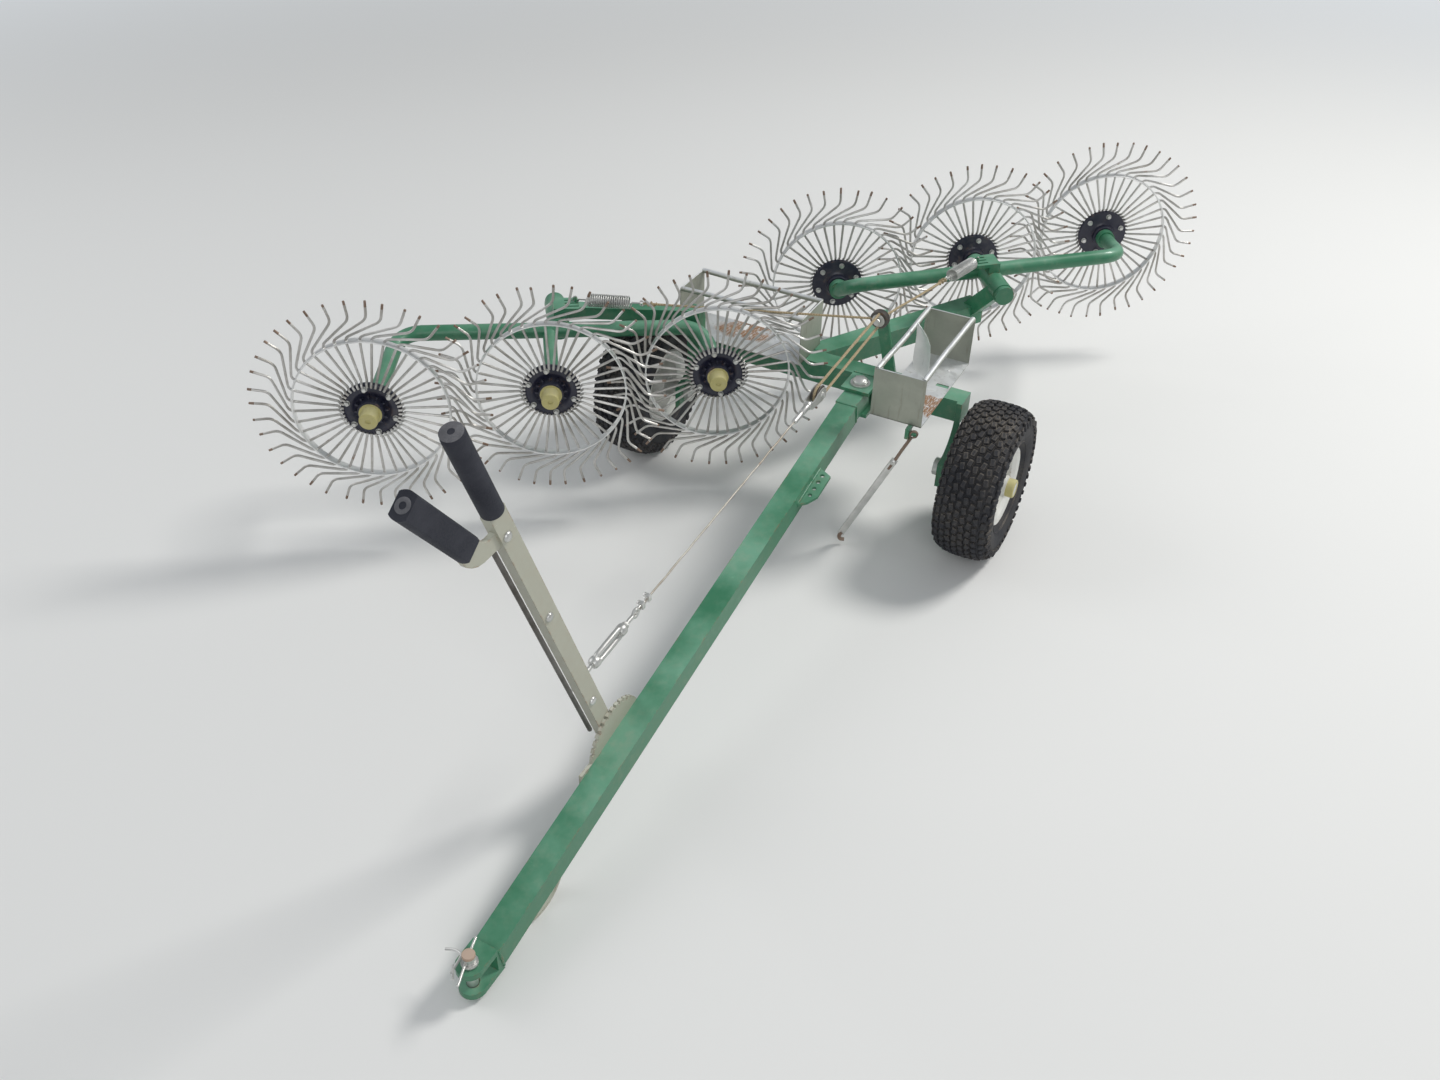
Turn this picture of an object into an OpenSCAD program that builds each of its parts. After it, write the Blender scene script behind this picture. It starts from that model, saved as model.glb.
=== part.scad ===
// Towed finger-wheel hay rake: a low two-wheel frame with a drawbar, and two
// rocking booms that each carry three free-turning wheels of spring tines.
// +X is the way it is towed, +Y its left side and +Z up. The origin is the
// middle of the hitch pin's hole. Sizes are worked out from the floor under
// the middle of the axle, and from_floor() moves them to the origin.

/* [Frame] */
// Side of the square cross beam and of the rear arm
beam_s = 50; // [40:1:60]
// Wall of the frame's square tubes
beam_wall = 4; // [3:0.5:6]
// Height of the cross beam's centre above the floor
beam_z = 282; // [275:1:300]
// How far the cross beam's centre lies behind the axle
beam_back = 80; // [75:1:90]
// Gap between the cross beam's left end and the left tyre's inner face
beam_left = 25; // [5:1:35]
// Gap between the cross beam's right end and the right tyre's inner face
beam_right = 15; // [6:1:20]
// Distance to the right where the rear arm leaves the beam
arm_start = 60; // [40:1:80]
// Height of the mast above the beam
mast_h = 140; // [100:1:180]

/* [Road wheels] */
// Distance between the middles of the two tyres
track = 824; // [800:1:880]
// Outer radius of the tyres
tyre_r = 171; // [150:1:171]
// Width of the tyres
tyre_w = 124; // [100:1:130]
// Radius of the rim where the tyre's bead sits
rim_r = 76; // [65:1:85]
// Diameter of the axle spindles
spindle_d = 25; // [18:1:30]
// Thickness of the curved leg plates
leg_t = 12; // [8:1:16]
// Width of the curved leg plates
leg_w = 56; // [44:1:64]

/* [Booms] */
// Front boom's pivot: forward of the axle, left of the middle, above the tyres
front_pivot = [130, -575, 33]; // [-1000:1:1000]
// Rear boom's pivot: forward of the axle, left of the middle, above the tyres
rear_pivot = [-467, 258, 33]; // [-1000:1:1000]
// Angle of the booms from the line of travel
boom_angle = 52; // [48:1:54]
// Rise of each boom's outer end as it stands
boom_tilt = 3; // [0:0.5:4]
// Diameter of the round boom tube
boom_d = 34; // [28:1:38]
// Distance from the pivot's middle to the boom's centre
boom_out = 95; // [90:1:110]
// Outer diameter of the pivot housings
housing_d = 48; // [42:1:56]
// Diameter of the pivot pins
pivot_d = 25; // [18:1:28]

/* [Rake wheels] */
// Distance between neighbouring rake wheels along the boom
wheel_step = 367; // [360:1:400]
// Radius of the flat band that ties the tines
band_r = 156; // [140:1:165]
// Width of that band
band_w = 18; // [12:1:24]
// Radius of the circle through the tine tips
tip_r = 242; // [230:1:242]
// Number of tines on each wheel
tine_n = 40; // [8:1:40]
// Diameter of the tine wire
tine_d = 6; // [4:0.5:7]
// Radius of the hub disc
disc_r = 60; // [50:1:66]
// Drop of the middle hub below the boom's pivot
hub_drop = 50; // [30:1:60]

/* [Drawbar] */
// Side of the square drawbar tube
bar_s = 45; // [38:1:48]
// Wall of the drawbar tube
bar_wall = 6; // [3:0.5:8]
// Distance of the drawbar to the left of the middle
bar_y = 108; // [95:1:115]
// Forward reach of the drawbar tube from the axle
bar_front = 1385; // [1300:1:1450]
// Diameter of the upright hinge bolt
bolt_d = 20; // [16:1:24]
// Diameter of the hitch pin's hole
hitch_d = 20; // [16:1:26]
// Height of the fork at the drawbar's nose
fork_h = 60; // [50:1:76]
// Thickness of the fork's two plates
fork_t = 12; // [8:1:15]
// Forward distance of the plate with holes from the axle
notch_x = 294; // [270:1:400]
// Distance of the skid's middle behind the drawbar tube's front end
skid_back = 130; // [110:1:150]

/* [Lever] */
// Forward distance of the lever's pivot from the axle
lever_x = 972; // [900:1:1050]
// Length of the lever from its pivot to the grip's lower end
lever_len = 690; // [500:1:750]
// Lean of the lever forward of upright
lever_lean = 21; // [15:1:25]
// Length of the rubber grips
grip_len = 165; // [120:1:200]
// Diameter of the rubber grips
grip_d = 34; // [28:1:38]

/* [Trays] */
// Length of the sheet metal trays
tray_l = 300; // [260:1:310]
// Width of the trays
tray_w = 113; // [100:1:125]
// Height of the trays
tray_h = 115; // [90:1:130]
// Thickness of the tray sheet
tray_t = 2; // [1.5:0.5:3]
// Gap between the right tray's outer end and the tyre's inner face
tray_gap = 6; // [5:1:12]

/* [Hidden] */
$fn = 48;
gap = 0.3;
clear = 5;
beam_x = -beam_back;
beam_top = beam_z + beam_s / 2;
beam_face = beam_x + beam_s / 2;
tyre_face = track / 2 - tyre_w / 2;
leg_y = tyre_face - beam_left;
beam_end = tyre_face - beam_right;
axle_z = tyre_r;
tyre_top = 2 * tyre_r;
leg_back = 23 - beam_face;
leg_drop = beam_z - axle_z;
leg_r = (leg_back * leg_back - 16 + leg_drop * leg_drop)
    / (2 * leg_back + 8);
leg_x = leg_r - leg_back;
hinge_x = beam_face + 40;
hinge_y = bar_y - 3;
bar_flat = 75;
lug_t = 8;
lug_high = beam_z - 2 + bar_s / 2 + gap;
lug_low = beam_z - 2 - bar_s / 2 - gap;
hitch_x = bar_front + 45;
hitch_z = 40;
bar_drop = beam_z - 2 - hitch_z;
bar_run = bar_front - hinge_x - bar_flat;
bar_slope = atan(bar_drop / bar_run);
slant = bar_run / cos(bar_slope);
lever_z = beam_z - 2 - (lever_x - hinge_x - bar_flat) * tan(bar_slope);
lever_t = 18;
core_d = grip_d - 12;
sector_t = 6;
sector_r = 78;
sector_low = 30;
lever_y = bar_y - bar_s / 2 - sector_t - gap - lever_t / 2;
wire_y = lever_y - lever_t / 2 - 9;
wire_arm = 178;
wire_from = [lever_x + wire_arm * sin(lever_lean), wire_y,
             lever_z + wire_arm * cos(lever_lean)];
mast_lean = 14;
mast_x = beam_x + 4;
mast_y = bar_y + 44;
mast_top = [mast_x + 12.3, mast_y - mast_h * tan(mast_lean),
            beam_top + mast_h];
wire_to = wire_from + 0.69 * (mast_top - wire_from);
housing_l = 28;
hub_turn = 82.5;
hub_line = 8;
mid_hub = [31, 262, -hub_drop];
green = [0.05, 0.38, 0.17];
cream = [0.78, 0.75, 0.62];
zinc = [0.72, 0.73, 0.72];

// Moves a piece from the floor under the axle's middle to the hitch origin
module from_floor() {
    translate([-hitch_x, -bar_y, -hitch_z]) children();
}

// Turns a piece that runs along +Z so that it runs from point a to point b
module along(a, b) {
    d = b - a;
    translate(a)
        rotate([0, acos(d[2] / norm(d)), atan2(d[1], d[0])]) children();
}

// Round rod from point a to point b
module rod(a, b, d) {
    along(a, b) cylinder(d = d, h = norm(b - a));
}

// Square tube along +X, centred on its axis
module square_tube(l, s, wall) {
    difference() {
        translate([0, -s / 2, -s / 2]) cube([l, s, s]);
        translate([-1, -s / 2 + wall, -s / 2 + wall])
            cube([l + 2, s - 2 * wall, s - 2 * wall]);
    }
}

// Frame

function pivot_at(front) =
    (front ? front_pivot : rear_pivot) + [0, 0, tyre_top];

// Turns the gang's own frame to its place: +X there runs to the boom's outer
// end, +Y to the side where its rake wheels are
module gang(front) {
    translate(pivot_at(front))
        rotate([0, 0, front ? -boom_angle : 180 - boom_angle]) children();
}

// Tube that the boom's pivot pin turns in
module housing() {
    rotate([-90, 0, 0])
        difference() {
            translate([0, 0, -housing_l])
                cylinder(d = housing_d, h = 2 * housing_l);
            translate([0, 0, -housing_l - 1])
                cylinder(d = pivot_d + 0.1, h = 2 * housing_l + 2);
        }
}

// Space that an arm is cut back by: its housing's seat, and on both sides of
// it the room that the turning boom needs
module housing_space() {
    rotate([-90, 0, 0]) {
        translate([0, 0, -housing_l - 1])
            cylinder(d = housing_d - 0.2, h = 2 * housing_l + 2);
        for (z = [-3 * housing_l, housing_l])
            translate([0, 0, z])
                cylinder(d = housing_d + 2 * clear, h = 2 * housing_l);
    }
}

// Solid arm that rises from a frame tube's end to its housing
module riser(a, b) {
    w = 36;
    along(a, b) translate([-w / 2, -w / 2, 0]) cube([w, w, norm(b - a)]);
}

module main_beam() {
    color(green) from_floor() {
        translate([beam_x, -beam_end, beam_z])
            rotate([0, 0, 90])
            square_tube(beam_end + leg_y, beam_s, beam_wall);
        for (y = [-beam_end, leg_y])
            translate([beam_x - beam_s / 2 + beam_wall,
                       y - (y > 0 ? beam_wall : 0),
                       beam_z - beam_s / 2 + beam_wall])
            cube([beam_s - 2 * beam_wall, beam_wall,
                  beam_s - 2 * beam_wall]);
        // Bracket whose pin the lock rod hangs from
        translate([beam_face - 1, lock_eye[1] - 16, beam_top - 8])
            cube([lock_eye[0] - beam_face + 11, 8, 8]);
        translate([lock_eye[0] - 10, lock_eye[1] - 16, lock_eye[2] - 10])
            cube([20, 8, beam_top - lock_eye[2] + 10]);
        translate([lock_eye[0], lock_eye[1] - 9, lock_eye[2]])
            rotate([-90, 0, 0]) cylinder(d = 8, h = 15);
        // Two lugs that hold the drawbar's hinge bolt
        for (z = [lug_high, lug_low - lug_t])
            difference() {
                translate([beam_face - (z < beam_z ? 34 : 1),
                           hinge_y - 32, z])
                    cube([hinge_x - beam_face + (z < beam_z ? 34 : 1) + 32,
                          64, lug_t]);
                translate([hinge_x, hinge_y, z - 1])
                    cylinder(d = bolt_d + 0.4, h = lug_t + 2);
            }
    }
}

// Arm that steps forward from the beam, rises past the right tray and runs out
// over the right tyre
module front_arm() {
    w = 30;
    post = [-7.5, leg_t + clear + w / 2 - leg_y, 0];
    pivot = pivot_at(true);
    top = [post[0], post[1], pivot[2]];
    color(green) from_floor() {
        difference() {
            union() {
                translate([beam_face, post[1] - w / 2, beam_z - 18])
                    cube([post[0] - beam_face, w, 36]);
                translate([post[0] - w / 2, post[1] - w / 2, beam_z - 18])
                    cube([w, w, top[2] + w / 2 - beam_z + 18]);
                along(top, pivot)
                    translate([1 - w / 2, 1 - w / 2, 0])
                    cube([w - 2, w - 2, norm(pivot - top)]);
            }
            gang(true) housing_space();
        }
        gang(true) housing();
    }
}

arm_end = [-522, 196, beam_z];

module rear_arm() {
    start = [beam_x, -arm_start, beam_z];
    run = arm_end - start;
    color(green) from_floor() {
        difference() {
            union() {
                difference() {
                    translate(start)
                        rotate([0, 0, atan2(run[1], run[0])])
                        square_tube(norm(run), beam_s, beam_wall);
                    translate([beam_x - beam_s / 2, -arm_start - 2 * beam_s,
                               beam_z - beam_s])
                        cube([2 * beam_s, 4 * beam_s, 2 * beam_s]);
                }
                riser([arm_end[0] + 18, arm_end[1] - 12, beam_z],
                      pivot_at(false));
            }
            gang(false) housing_space();
        }
        gang(false) housing();
    }
}

// Curved leg plate from the beam's front face to the axle
module leg() {
    far = leg_r + leg_w / 2;
    rotate([90, 0, 0])
        difference() {
            translate([leg_x, beam_z, 0])
                intersection() {
                    difference() {
                        cylinder(r = far, h = leg_t, $fn = 96);
                        translate([0, 0, -1])
                            cylinder(r = leg_r - leg_w / 2, h = leg_t + 2,
                                     $fn = 96);
                    }
                    translate([-far - 1, -far - 1, -1])
                        cube([far - 1, far + 1 + beam_s / 2, leg_t + 2]);
                }
            translate([beam_face - far, beam_z - 2 * beam_s, -1])
                cube([far, 4 * beam_s, leg_t + 2]);
            translate([0, axle_z, -1])
                cylinder(d = spindle_d, h = leg_t + 2);
        }
}

module left_leg() {
    color(green) from_floor() translate([0, leg_y, 0]) leg();
}

module right_leg() {
    color(green) from_floor() translate([0, -leg_y + leg_t, 0]) leg();
}

// Spindle pointing to +Z from the leg's plate, with its collar and nut
module spindle() {
    end = track / 2 + 66 - leg_y;
    translate([0, 0, -leg_t - 6]) cylinder(d = spindle_d, h = end + leg_t + 6);
    translate([0, 0, -leg_t - 14])
        cylinder(d = spindle_d + 14, h = 14 - gap);
    cylinder(d = spindle_d + 12, h = track / 2 - 52 - leg_y);
    translate([0, 0, end - 12]) cylinder(d = spindle_d + 12, h = 12);
}

module left_axle() {
    color(zinc) from_floor()
        translate([0, leg_y, axle_z]) rotate([-90, 0, 0]) spindle();
}

module right_axle() {
    color(zinc) from_floor()
        translate([0, -leg_y, axle_z]) rotate([90, 0, 0]) spindle();
}

// Road wheels

// Pressed rim with its hub tube, about the +Z axis
module rim() {
    w = 96;
    tube_l = 100;
    difference() {
        union() {
            rotate_extrude($fn = 96)
                polygon([[rim_r - 14, -w / 2 + 10], [rim_r - 4, -w / 2 + 3],
                         [rim_r + 9, -w / 2], [rim_r + 12, -w / 2 + 3],
                         [rim_r, -w / 2 + 8], [rim_r, w / 2 - 8],
                         [rim_r + 12, w / 2 - 3], [rim_r + 9, w / 2],
                         [rim_r - 4, w / 2 - 3], [rim_r - 14, w / 2 - 10],
                         [rim_r - 14, 14], [30, 22], [30, 18],
                         [rim_r - 14, 6]]);
            translate([0, 0, -tube_l / 2]) cylinder(r = 24, h = tube_l);
            translate([0, 0, 10]) cylinder(r = 34, h = 12);
        }
        translate([0, 0, -tube_l]) cylinder(d = spindle_d + 0.1, h = 2 * tube_l);
    }
}

// Tyre about the +Z axis, open over the rim
module tyre() {
    h = tyre_w / 2;
    rotate_extrude($fn = 96)
        polygon([[rim_r + 0.3, -39], [rim_r + 13, -44], [rim_r + 34, -h + 3],
                 [rim_r + 60, -h], [tyre_r - 18, -h + 4],
                 [tyre_r - 5, -h + 14], [tyre_r, -h + 26],
                 [tyre_r, h - 26], [tyre_r - 5, h - 14],
                 [tyre_r - 18, h - 4], [rim_r + 60, h],
                 [rim_r + 34, h - 3], [rim_r + 13, 44],
                 [rim_r + 0.3, 39]]);
}

module wheel_place(side) {
    translate([0, side * track / 2, axle_z])
        rotate([side * -90, 0, 0]) children();
}

module left_rim() {
    color("white") from_floor() wheel_place(1) rim();
}

module right_rim() {
    color("white") from_floor() wheel_place(-1) rim();
}

module left_tyre() {
    color([0.1, 0.1, 0.1]) from_floor() wheel_place(1) tyre();
}

module right_tyre() {
    color([0.1, 0.1, 0.1]) from_floor() wheel_place(-1) tyre();
}

// Trays and mast

// Tray along +X: a slotted floor, two end plates and a folded rail over each
// open long side
module tray() {
    rail_w = 12;
    rail_h = 11;
    difference() {
        translate([-tray_l / 2, -tray_w / 2, 0])
            cube([tray_l, tray_w, tray_t]);
        translate([-34, tray_w / 2 - 32, -1]) cube([11, 28, tray_t + 2]);
    }
    for (s = [-1, 1]) {
        translate([s * (tray_l - tray_t) / 2 - tray_t / 2, -tray_w / 2, 0])
            cube([tray_t, tray_w, tray_h - rail_h + 1]);
        translate([-tray_l / 2, s * (tray_w - rail_w) / 2 - rail_w / 2,
                   tray_h - rail_h])
            cube([tray_l, rail_w, rail_h]);
    }
}

module left_tray() {
    color(zinc) from_floor()
        translate([beam_x + 12, bar_y + 60 + tray_w / 2, beam_top]) tray();
}

module right_tray() {
    color(zinc) from_floor()
        translate([beam_x, tray_gap + tray_l / 2 - tyre_face, beam_top])
        rotate([0, 0, 90]) tray();
}

module mast() {
    color(green) from_floor()
        difference() {
            translate([mast_x, mast_y, beam_top])
                rotate([mast_lean, 0, 0]) {
                translate([-4, -12.5, -20])
                    cube([8, 25, mast_h / cos(mast_lean) + 34]);
                translate([0, 0, mast_h / cos(mast_lean)])
                    rotate([0, 90, 0]) cylinder(d = 7.8, h = 24);
            }
            translate([mast_x - 50, mast_y - 50, beam_top - 50])
                cube([100, 100, 50]);
        }
}

// Sheave that turns the ropes at the mast's top, on its own pin
module mast_pulley() {
    color([0.25, 0.25, 0.25]) from_floor()
        translate(mast_top)
        rotate([0, 90, 0])
        rotate_extrude()
        polygon([[4.1, -8], [20, -8], [20, -5], [15, 0], [20, 5],
                 [20, 8], [4.1, 8]]);
}

// Drawbar

module tongue_bolt() {
    top = lug_high + lug_t;
    low = lug_low - lug_t;
    color(zinc) from_floor() translate([hinge_x, hinge_y, 0]) {
        translate([0, 0, low - 12]) cylinder(d = bolt_d, h = top - low + 18);
        translate([0, 0, top]) cylinder(d = 30, h = 12, $fn = 6);
        translate([0, 0, low - 14]) cylinder(d = 30, h = 14, $fn = 6);
    }
}

module tongue() {
    color(green) from_floor() {
        difference() {
            union() {
                translate([hinge_x, hinge_y, beam_z - bar_s / 2 - 2])
                    cylinder(d = bar_s, h = bar_s);
                translate([hinge_x, hinge_y - bar_s / 2,
                           beam_z - bar_s / 2 - 2])
                    cube([bar_flat + 6, bar_s, bar_s]);
            }
            translate([hinge_x, hinge_y, beam_z - 2 - bar_s])
                cylinder(d = bolt_d + 0.2, h = 2 * bar_s);
            on_slope()
                translate([0, -bar_s, -bar_s])
                cube([2 * bar_s, 2 * bar_s, 2 * bar_s]);
        }
        on_slope() square_tube(slant, bar_s, bar_wall);
    }
}

// Moves a piece into the frame of the sloping drawbar tube, +X along it
module on_slope() {
    translate([hinge_x + bar_flat, bar_y, beam_z - 2])
        rotate([0, bar_slope, 0]) children();
}

// Fork welded to the drawbar's nose, with its pin hole
module hitch_clevis() {
    low = hitch_z - fork_h / 2;
    slot_h = fork_h - 2 * fork_t;
    color(green) from_floor()
        difference() {
            union() {
                translate([hitch_x, bar_y, low])
                    cylinder(d = bar_s, h = fork_h);
                translate([bar_front - bar_s, bar_y - bar_s / 2, low])
                    cube([hitch_x - bar_front + bar_s, bar_s, fork_h]);
            }
            translate([bar_front + 10, bar_y - bar_s, hitch_z - slot_h / 2])
                cube([2 * bar_s, 2 * bar_s, slot_h]);
            translate([hitch_x, bar_y, low - 1])
                cylinder(d = hitch_d, h = fork_h + 2);
            on_slope()
                translate([0, -bar_s, -bar_s])
                cube([slant + 0.2, 2 * bar_s, 2 * bar_s]);
        }
}

// Curved foot under the drawbar, behind the hitch
module skid_foot() {
    skid_r = 62;
    x = bar_front - skid_back;
    color(cream) from_floor()
        difference() {
            translate([x, bar_y + 12, skid_r])
                rotate([90, 0, 0])
                difference() {
                    cylinder(r = skid_r, h = 24, $fn = 96);
                    translate([0, 0, -1])
                        cylinder(r = skid_r - 6, h = 26, $fn = 96);
                }
            on_slope()
                translate([0, -bar_s, -bar_s / 2])
                cube([2 * bar_run, 2 * bar_s, 4 * skid_r]);
        }
}

// Plate with a row of holes that the lock rod hooks into
module notch_plate() {
    z = beam_z - 2 - (notch_x - hinge_x - bar_flat) * tan(bar_slope);
    color(green) from_floor()
        translate([notch_x, bar_y + bar_s / 2, z])
        rotate([0, bar_slope, 0]) translate([0, 0, -3])
        difference() {
            linear_extrude(6)
                polygon([[-57, 0], [57, 0], [43, 16], [20, 28], [-43, 28]]);
            for (i = [0:3])
                translate([20 * i - 38, 12, -1]) cylinder(d = 9, h = 8);
        }
}

// Plate with teeth about the lever's pivot, on the drawbar's right side
module lever_sector() {
    color(cream) from_floor()
        translate([lever_x, bar_y - bar_s / 2, lever_z])
        rotate([90, 0, 0])
        difference() {
            union() {
                cylinder(r = sector_r, h = sector_t, $fn = 96);
                translate([20, -sector_low, 0])
                    cube([sector_r + 12, sector_low + 10, sector_t]);
            }
            translate([-2 * sector_r, -sector_low - 2 * sector_r, -1])
                cube([4 * sector_r, 2 * sector_r, sector_t + 2]);
            translate([0, 0, -1]) cylinder(d = 16.1, h = sector_t + 2);
            for (a = [20:10:130])
                rotate([0, 0, a]) translate([sector_r - 6, -2.5, -1])
                cube([12, 5, sector_t + 2]);
        }
}

// Lever and latch

// The lever's own frame: +Z runs up the lever from its pivot
module on_lever() {
    translate([lever_x, lever_y, lever_z]) rotate([0, lever_lean, 0])
        children();
}

module lever() {
    t = lever_t;
    color(cream) from_floor() on_lever() {
        difference() {
            translate([-16, -t / 2, -22]) cube([32, t, lever_len + 22]);
            translate([-12, -t / 2 - 1, 30])
                cube([24, t - 3, lever_len - 60]);
        }
        translate([0, 0, lever_len - 1])
            cylinder(d = core_d, h = grip_len - 6);
        rotate([90, 0, 0])
            translate([0, 0, -t / 2 - gap - sector_t + 0.2])
            cylinder(d = 16, h = sector_t + gap);
        translate([0, 7, wire_arm]) rotate([90, 0, 0])
            cylinder(d = 8, h = t / 2 + 25);
    }
}

// Rubber grip with a round end
module grip() {
    difference() {
        union() {
            cylinder(d = grip_d, h = grip_len - 8);
            translate([0, 0, grip_len - 8])
                cylinder(d1 = grip_d, d2 = grip_d - 10, h = 8);
        }
        translate([0, 0, -1]) cylinder(d = core_d, h = grip_len - 6);
    }
}

module lever_grip() {
    color([0.07, 0.07, 0.07]) from_floor() on_lever()
        translate([0, 0, lever_len + gap]) grip();
}

latch_z = lever_len - 60;

module latch_place() {
    translate([61, 0, latch_z + 54]) rotate([0, 16, 0]) children();
}

// Curved plate on the lever's front face, with the core of its grip
module latch_handle() {
    color(cream) from_floor() on_lever() {
        translate([0, 4.5, latch_z]) rotate([90, 0, 0])
            linear_extrude(9)
            polygon([[16, 0], [35, 7], [52, 13], [64, 20], [73, 30], [80, 42],
                     [81, 54.5], [44.5, 64.9], [41, 50], [36, 37], [28, 32],
                     [16, 30]]);
        latch_place() cylinder(d = core_d, h = grip_len);
    }
}

// Flat-sided grip, wider than the lever's own
module latch_grip() {
    color([0.07, 0.07, 0.07]) from_floor() on_lever()
        latch_place() translate([0, 0, 6 + gap])
        difference() {
            intersection() {
                cylinder(d = grip_d + 6, h = grip_len);
                translate([-grip_d, 4 - grip_d / 2, 0])
                    cube([2 * grip_d, grip_d - 8, grip_len]);
            }
            translate([0, 0, -1]) cylinder(d = core_d, h = grip_len - 5);
        }
}

module latch_rod() {
    color([0.2, 0.2, 0.2]) from_floor() on_lever()
        translate([29, 0, sector_r + 4])
            cylinder(d = 8, h = latch_z + 3 - sector_r - 4);
}

// Lift gear

wire_dir = (wire_to - wire_from) / norm(wire_to - wire_from);
screw_len = 190;

// Open body with an eye round the lever's pin
module turnbuckle() {
    body_z = 50;
    body_l = 88;
    color(zinc) from_floor() along(wire_from, wire_to)
        {
            rotate([90, 0, 0])
                difference() {
                    cylinder(r = 10, h = 7, center = true);
                    cylinder(r = 4.6, h = 9, center = true);
                }
            translate([0, 0, 8]) cylinder(d = 9, h = body_z - 6);
            difference() {
                translate([-11, -7, body_z]) cube([22, 14, body_l]);
                translate([-6, -8, body_z + 10]) cube([12, 16, body_l - 20]);
            }
            translate([0, 0, body_z + body_l - 1])
                cylinder(d = 9, h = screw_len - body_z - body_l + 1);
        }
}

module lift_wire() {
    color(zinc) from_floor()
        rod(wire_from + screw_len * wire_dir, wire_to, 5);
}

module pulley_block() {
    color([0.8, 0.8, 0.8]) from_floor() along(wire_from, wire_to)
        translate([0, 0, norm(wire_to - wire_from)]) {
            cylinder(d = 14, h = 26);
            for (s = [-1, 1])
                translate([-15, s * 9 - 2, 22]) cube([30, 4, 62]);
            translate([0, 0, 66]) rotate([90, 0, 0])
                cylinder(r = 19, h = 15, center = true);
            translate([-8, -9, 20]) cube([16, 18, 10]);
        }
}

lock_eye = [90, 270, 293];
lock_foot = [151, 146, 14];

// Rod that hangs from an eye under the left tray
module lock_rod() {
    color(zinc) from_floor() {
        difference() {
            union() {
                rod(lock_eye - [0, 0, 6], lock_foot, 9);
                translate(lock_eye) rotate([90, 0, 0])
                    cylinder(r = 11, h = 10, center = true);
            }
            translate(lock_eye) rotate([90, 0, 0])
                cylinder(r = 4.3, h = 12, center = true);
            translate(lock_eye - [20, 20, 15]) cube([40, 15, 30]);
        }
    }
}

// Booms

function hub_at(i) =
    mid_hub + i * wheel_step * [cos(hub_line), sin(hub_line), 0];
hub_dir = [cos(hub_turn), sin(hub_turn), 0];
bend_r = 60;
bend_a = 75;

// Bent end of the boom tube; end is 1 for the outer and -1 for the inner one
module boom_end(end) {
    seat = hub_at(end) - 37 * hub_dir;
    dy = seat[1] - boom_out;
    dz = seat[2];
    far = norm([dy, dz]);
    leg = (far - bend_r * (1 - cos(bend_a))) / sin(bend_a);
    x0 = end * seat[0] - bend_r * sin(bend_a) - leg * cos(bend_a);
    translate([0, boom_out, 0])
        mirror([end > 0 ? 0 : 1, 0, 0]) {
            translate([-4, 0, 0]) rotate([0, 90, 0])
                cylinder(d = boom_d, h = x0 + 5);
            translate([x0, 0, 0])
                rotate([atan2(dz, dy), 0, 0])
                translate([0, bend_r, 0])
                rotate([0, 0, -90])
                rotate_extrude(angle = bend_a, $fn = 96)
                translate([bend_r, 0]) circle(d = boom_d - 0.6);
            translate([x0, 0, 0])
                rotate([atan2(dz, dy), 0, 0])
                translate([bend_r * sin(bend_a),
                           bend_r * (1 - cos(bend_a)), 0])
                rotate([0, 0, bend_a]) translate([-1, 0, 0])
                rotate([0, 90, 0]) cylinder(d = boom_d, h = leg + 1);
        }
}

// Spindle that a rake wheel turns on, with its collar
module hub_spindle(i) {
    at = hub_at(i);
    rod(at - 42 * hub_dir, at - 24 * hub_dir, 44);
    rod(at - 30 * hub_dir, at + 26 * hub_dir, 20);
}

module boom() {
    rotate([0, -boom_tilt, 0]) {
        for (end = [-1, 1]) boom_end(end);
        rod([22, boom_out, 0], hub_at(0) - 30 * hub_dir, boom_d - 4);
        for (i = [-1, 0, 1]) hub_spindle(i);
        // Pivot pin, its collar and the block that carries the boom
        rotate([-90, 0, 0]) {
            translate([0, 0, -housing_l - 8])
                cylinder(d = pivot_d, h = 2 * housing_l + 24);
            translate([0, 0, -housing_l - 12])
                cylinder(d = housing_d - 4, h = 12 - gap);
            translate([0, 0, housing_l + gap])
                cylinder(d = housing_d, h = boom_out - housing_l - gap);
        }
        // Comb of fingers that the spring hooks to
        translate([-14, 34, 16]) cube([26, 52, 30]);
        for (i = [0:3])
            translate([-44, 34 + i * 14, 38]) cube([40, 10, 8]);
        translate(hook_at - [0, 0, 20]) cylinder(d = 6, h = 26);
    }
}

module front_boom() {
    color(green) from_floor() gang(true) boom();
}

module rear_boom() {
    color(green) from_floor() gang(false) boom();
}

// Where the spring's hook sits on the comb, in the gang's frame
hook_at = [-38, 53, 52];

function turn(p, a) = [p[0] * cos(a) - p[1] * sin(a),
                       p[0] * sin(a) + p[1] * cos(a), p[2]];
function tip_up(p, a) = [p[0] * cos(a) - p[2] * sin(a), p[1],
                         p[0] * sin(a) + p[2] * cos(a)];
front_hook = pivot_at(true) + turn(tip_up(hook_at, boom_tilt), -boom_angle);
rear_hook = pivot_at(false)
    + turn(tip_up(hook_at, boom_tilt), 180 - boom_angle);

module spring(from) {
    along(from, mast_top) {
        rotate([0, 90, 0])
            difference() {
                cylinder(r = 8.5, h = 5, center = true);
                cylinder(r = 3.7, h = 7, center = true);
            }
        translate([0, 0, 6]) cylinder(d = 5, h = 24);
        translate([0, 0, 26]) cylinder(d = 30, h = 96);
        translate([0, 0, 120]) cylinder(d = 6, h = 34);
    }
}

module front_spring() {
    color(zinc) from_floor() spring(front_hook);
}

module rear_spring() {
    color(zinc) from_floor() spring(rear_hook);
}

// Rake wheels

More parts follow.
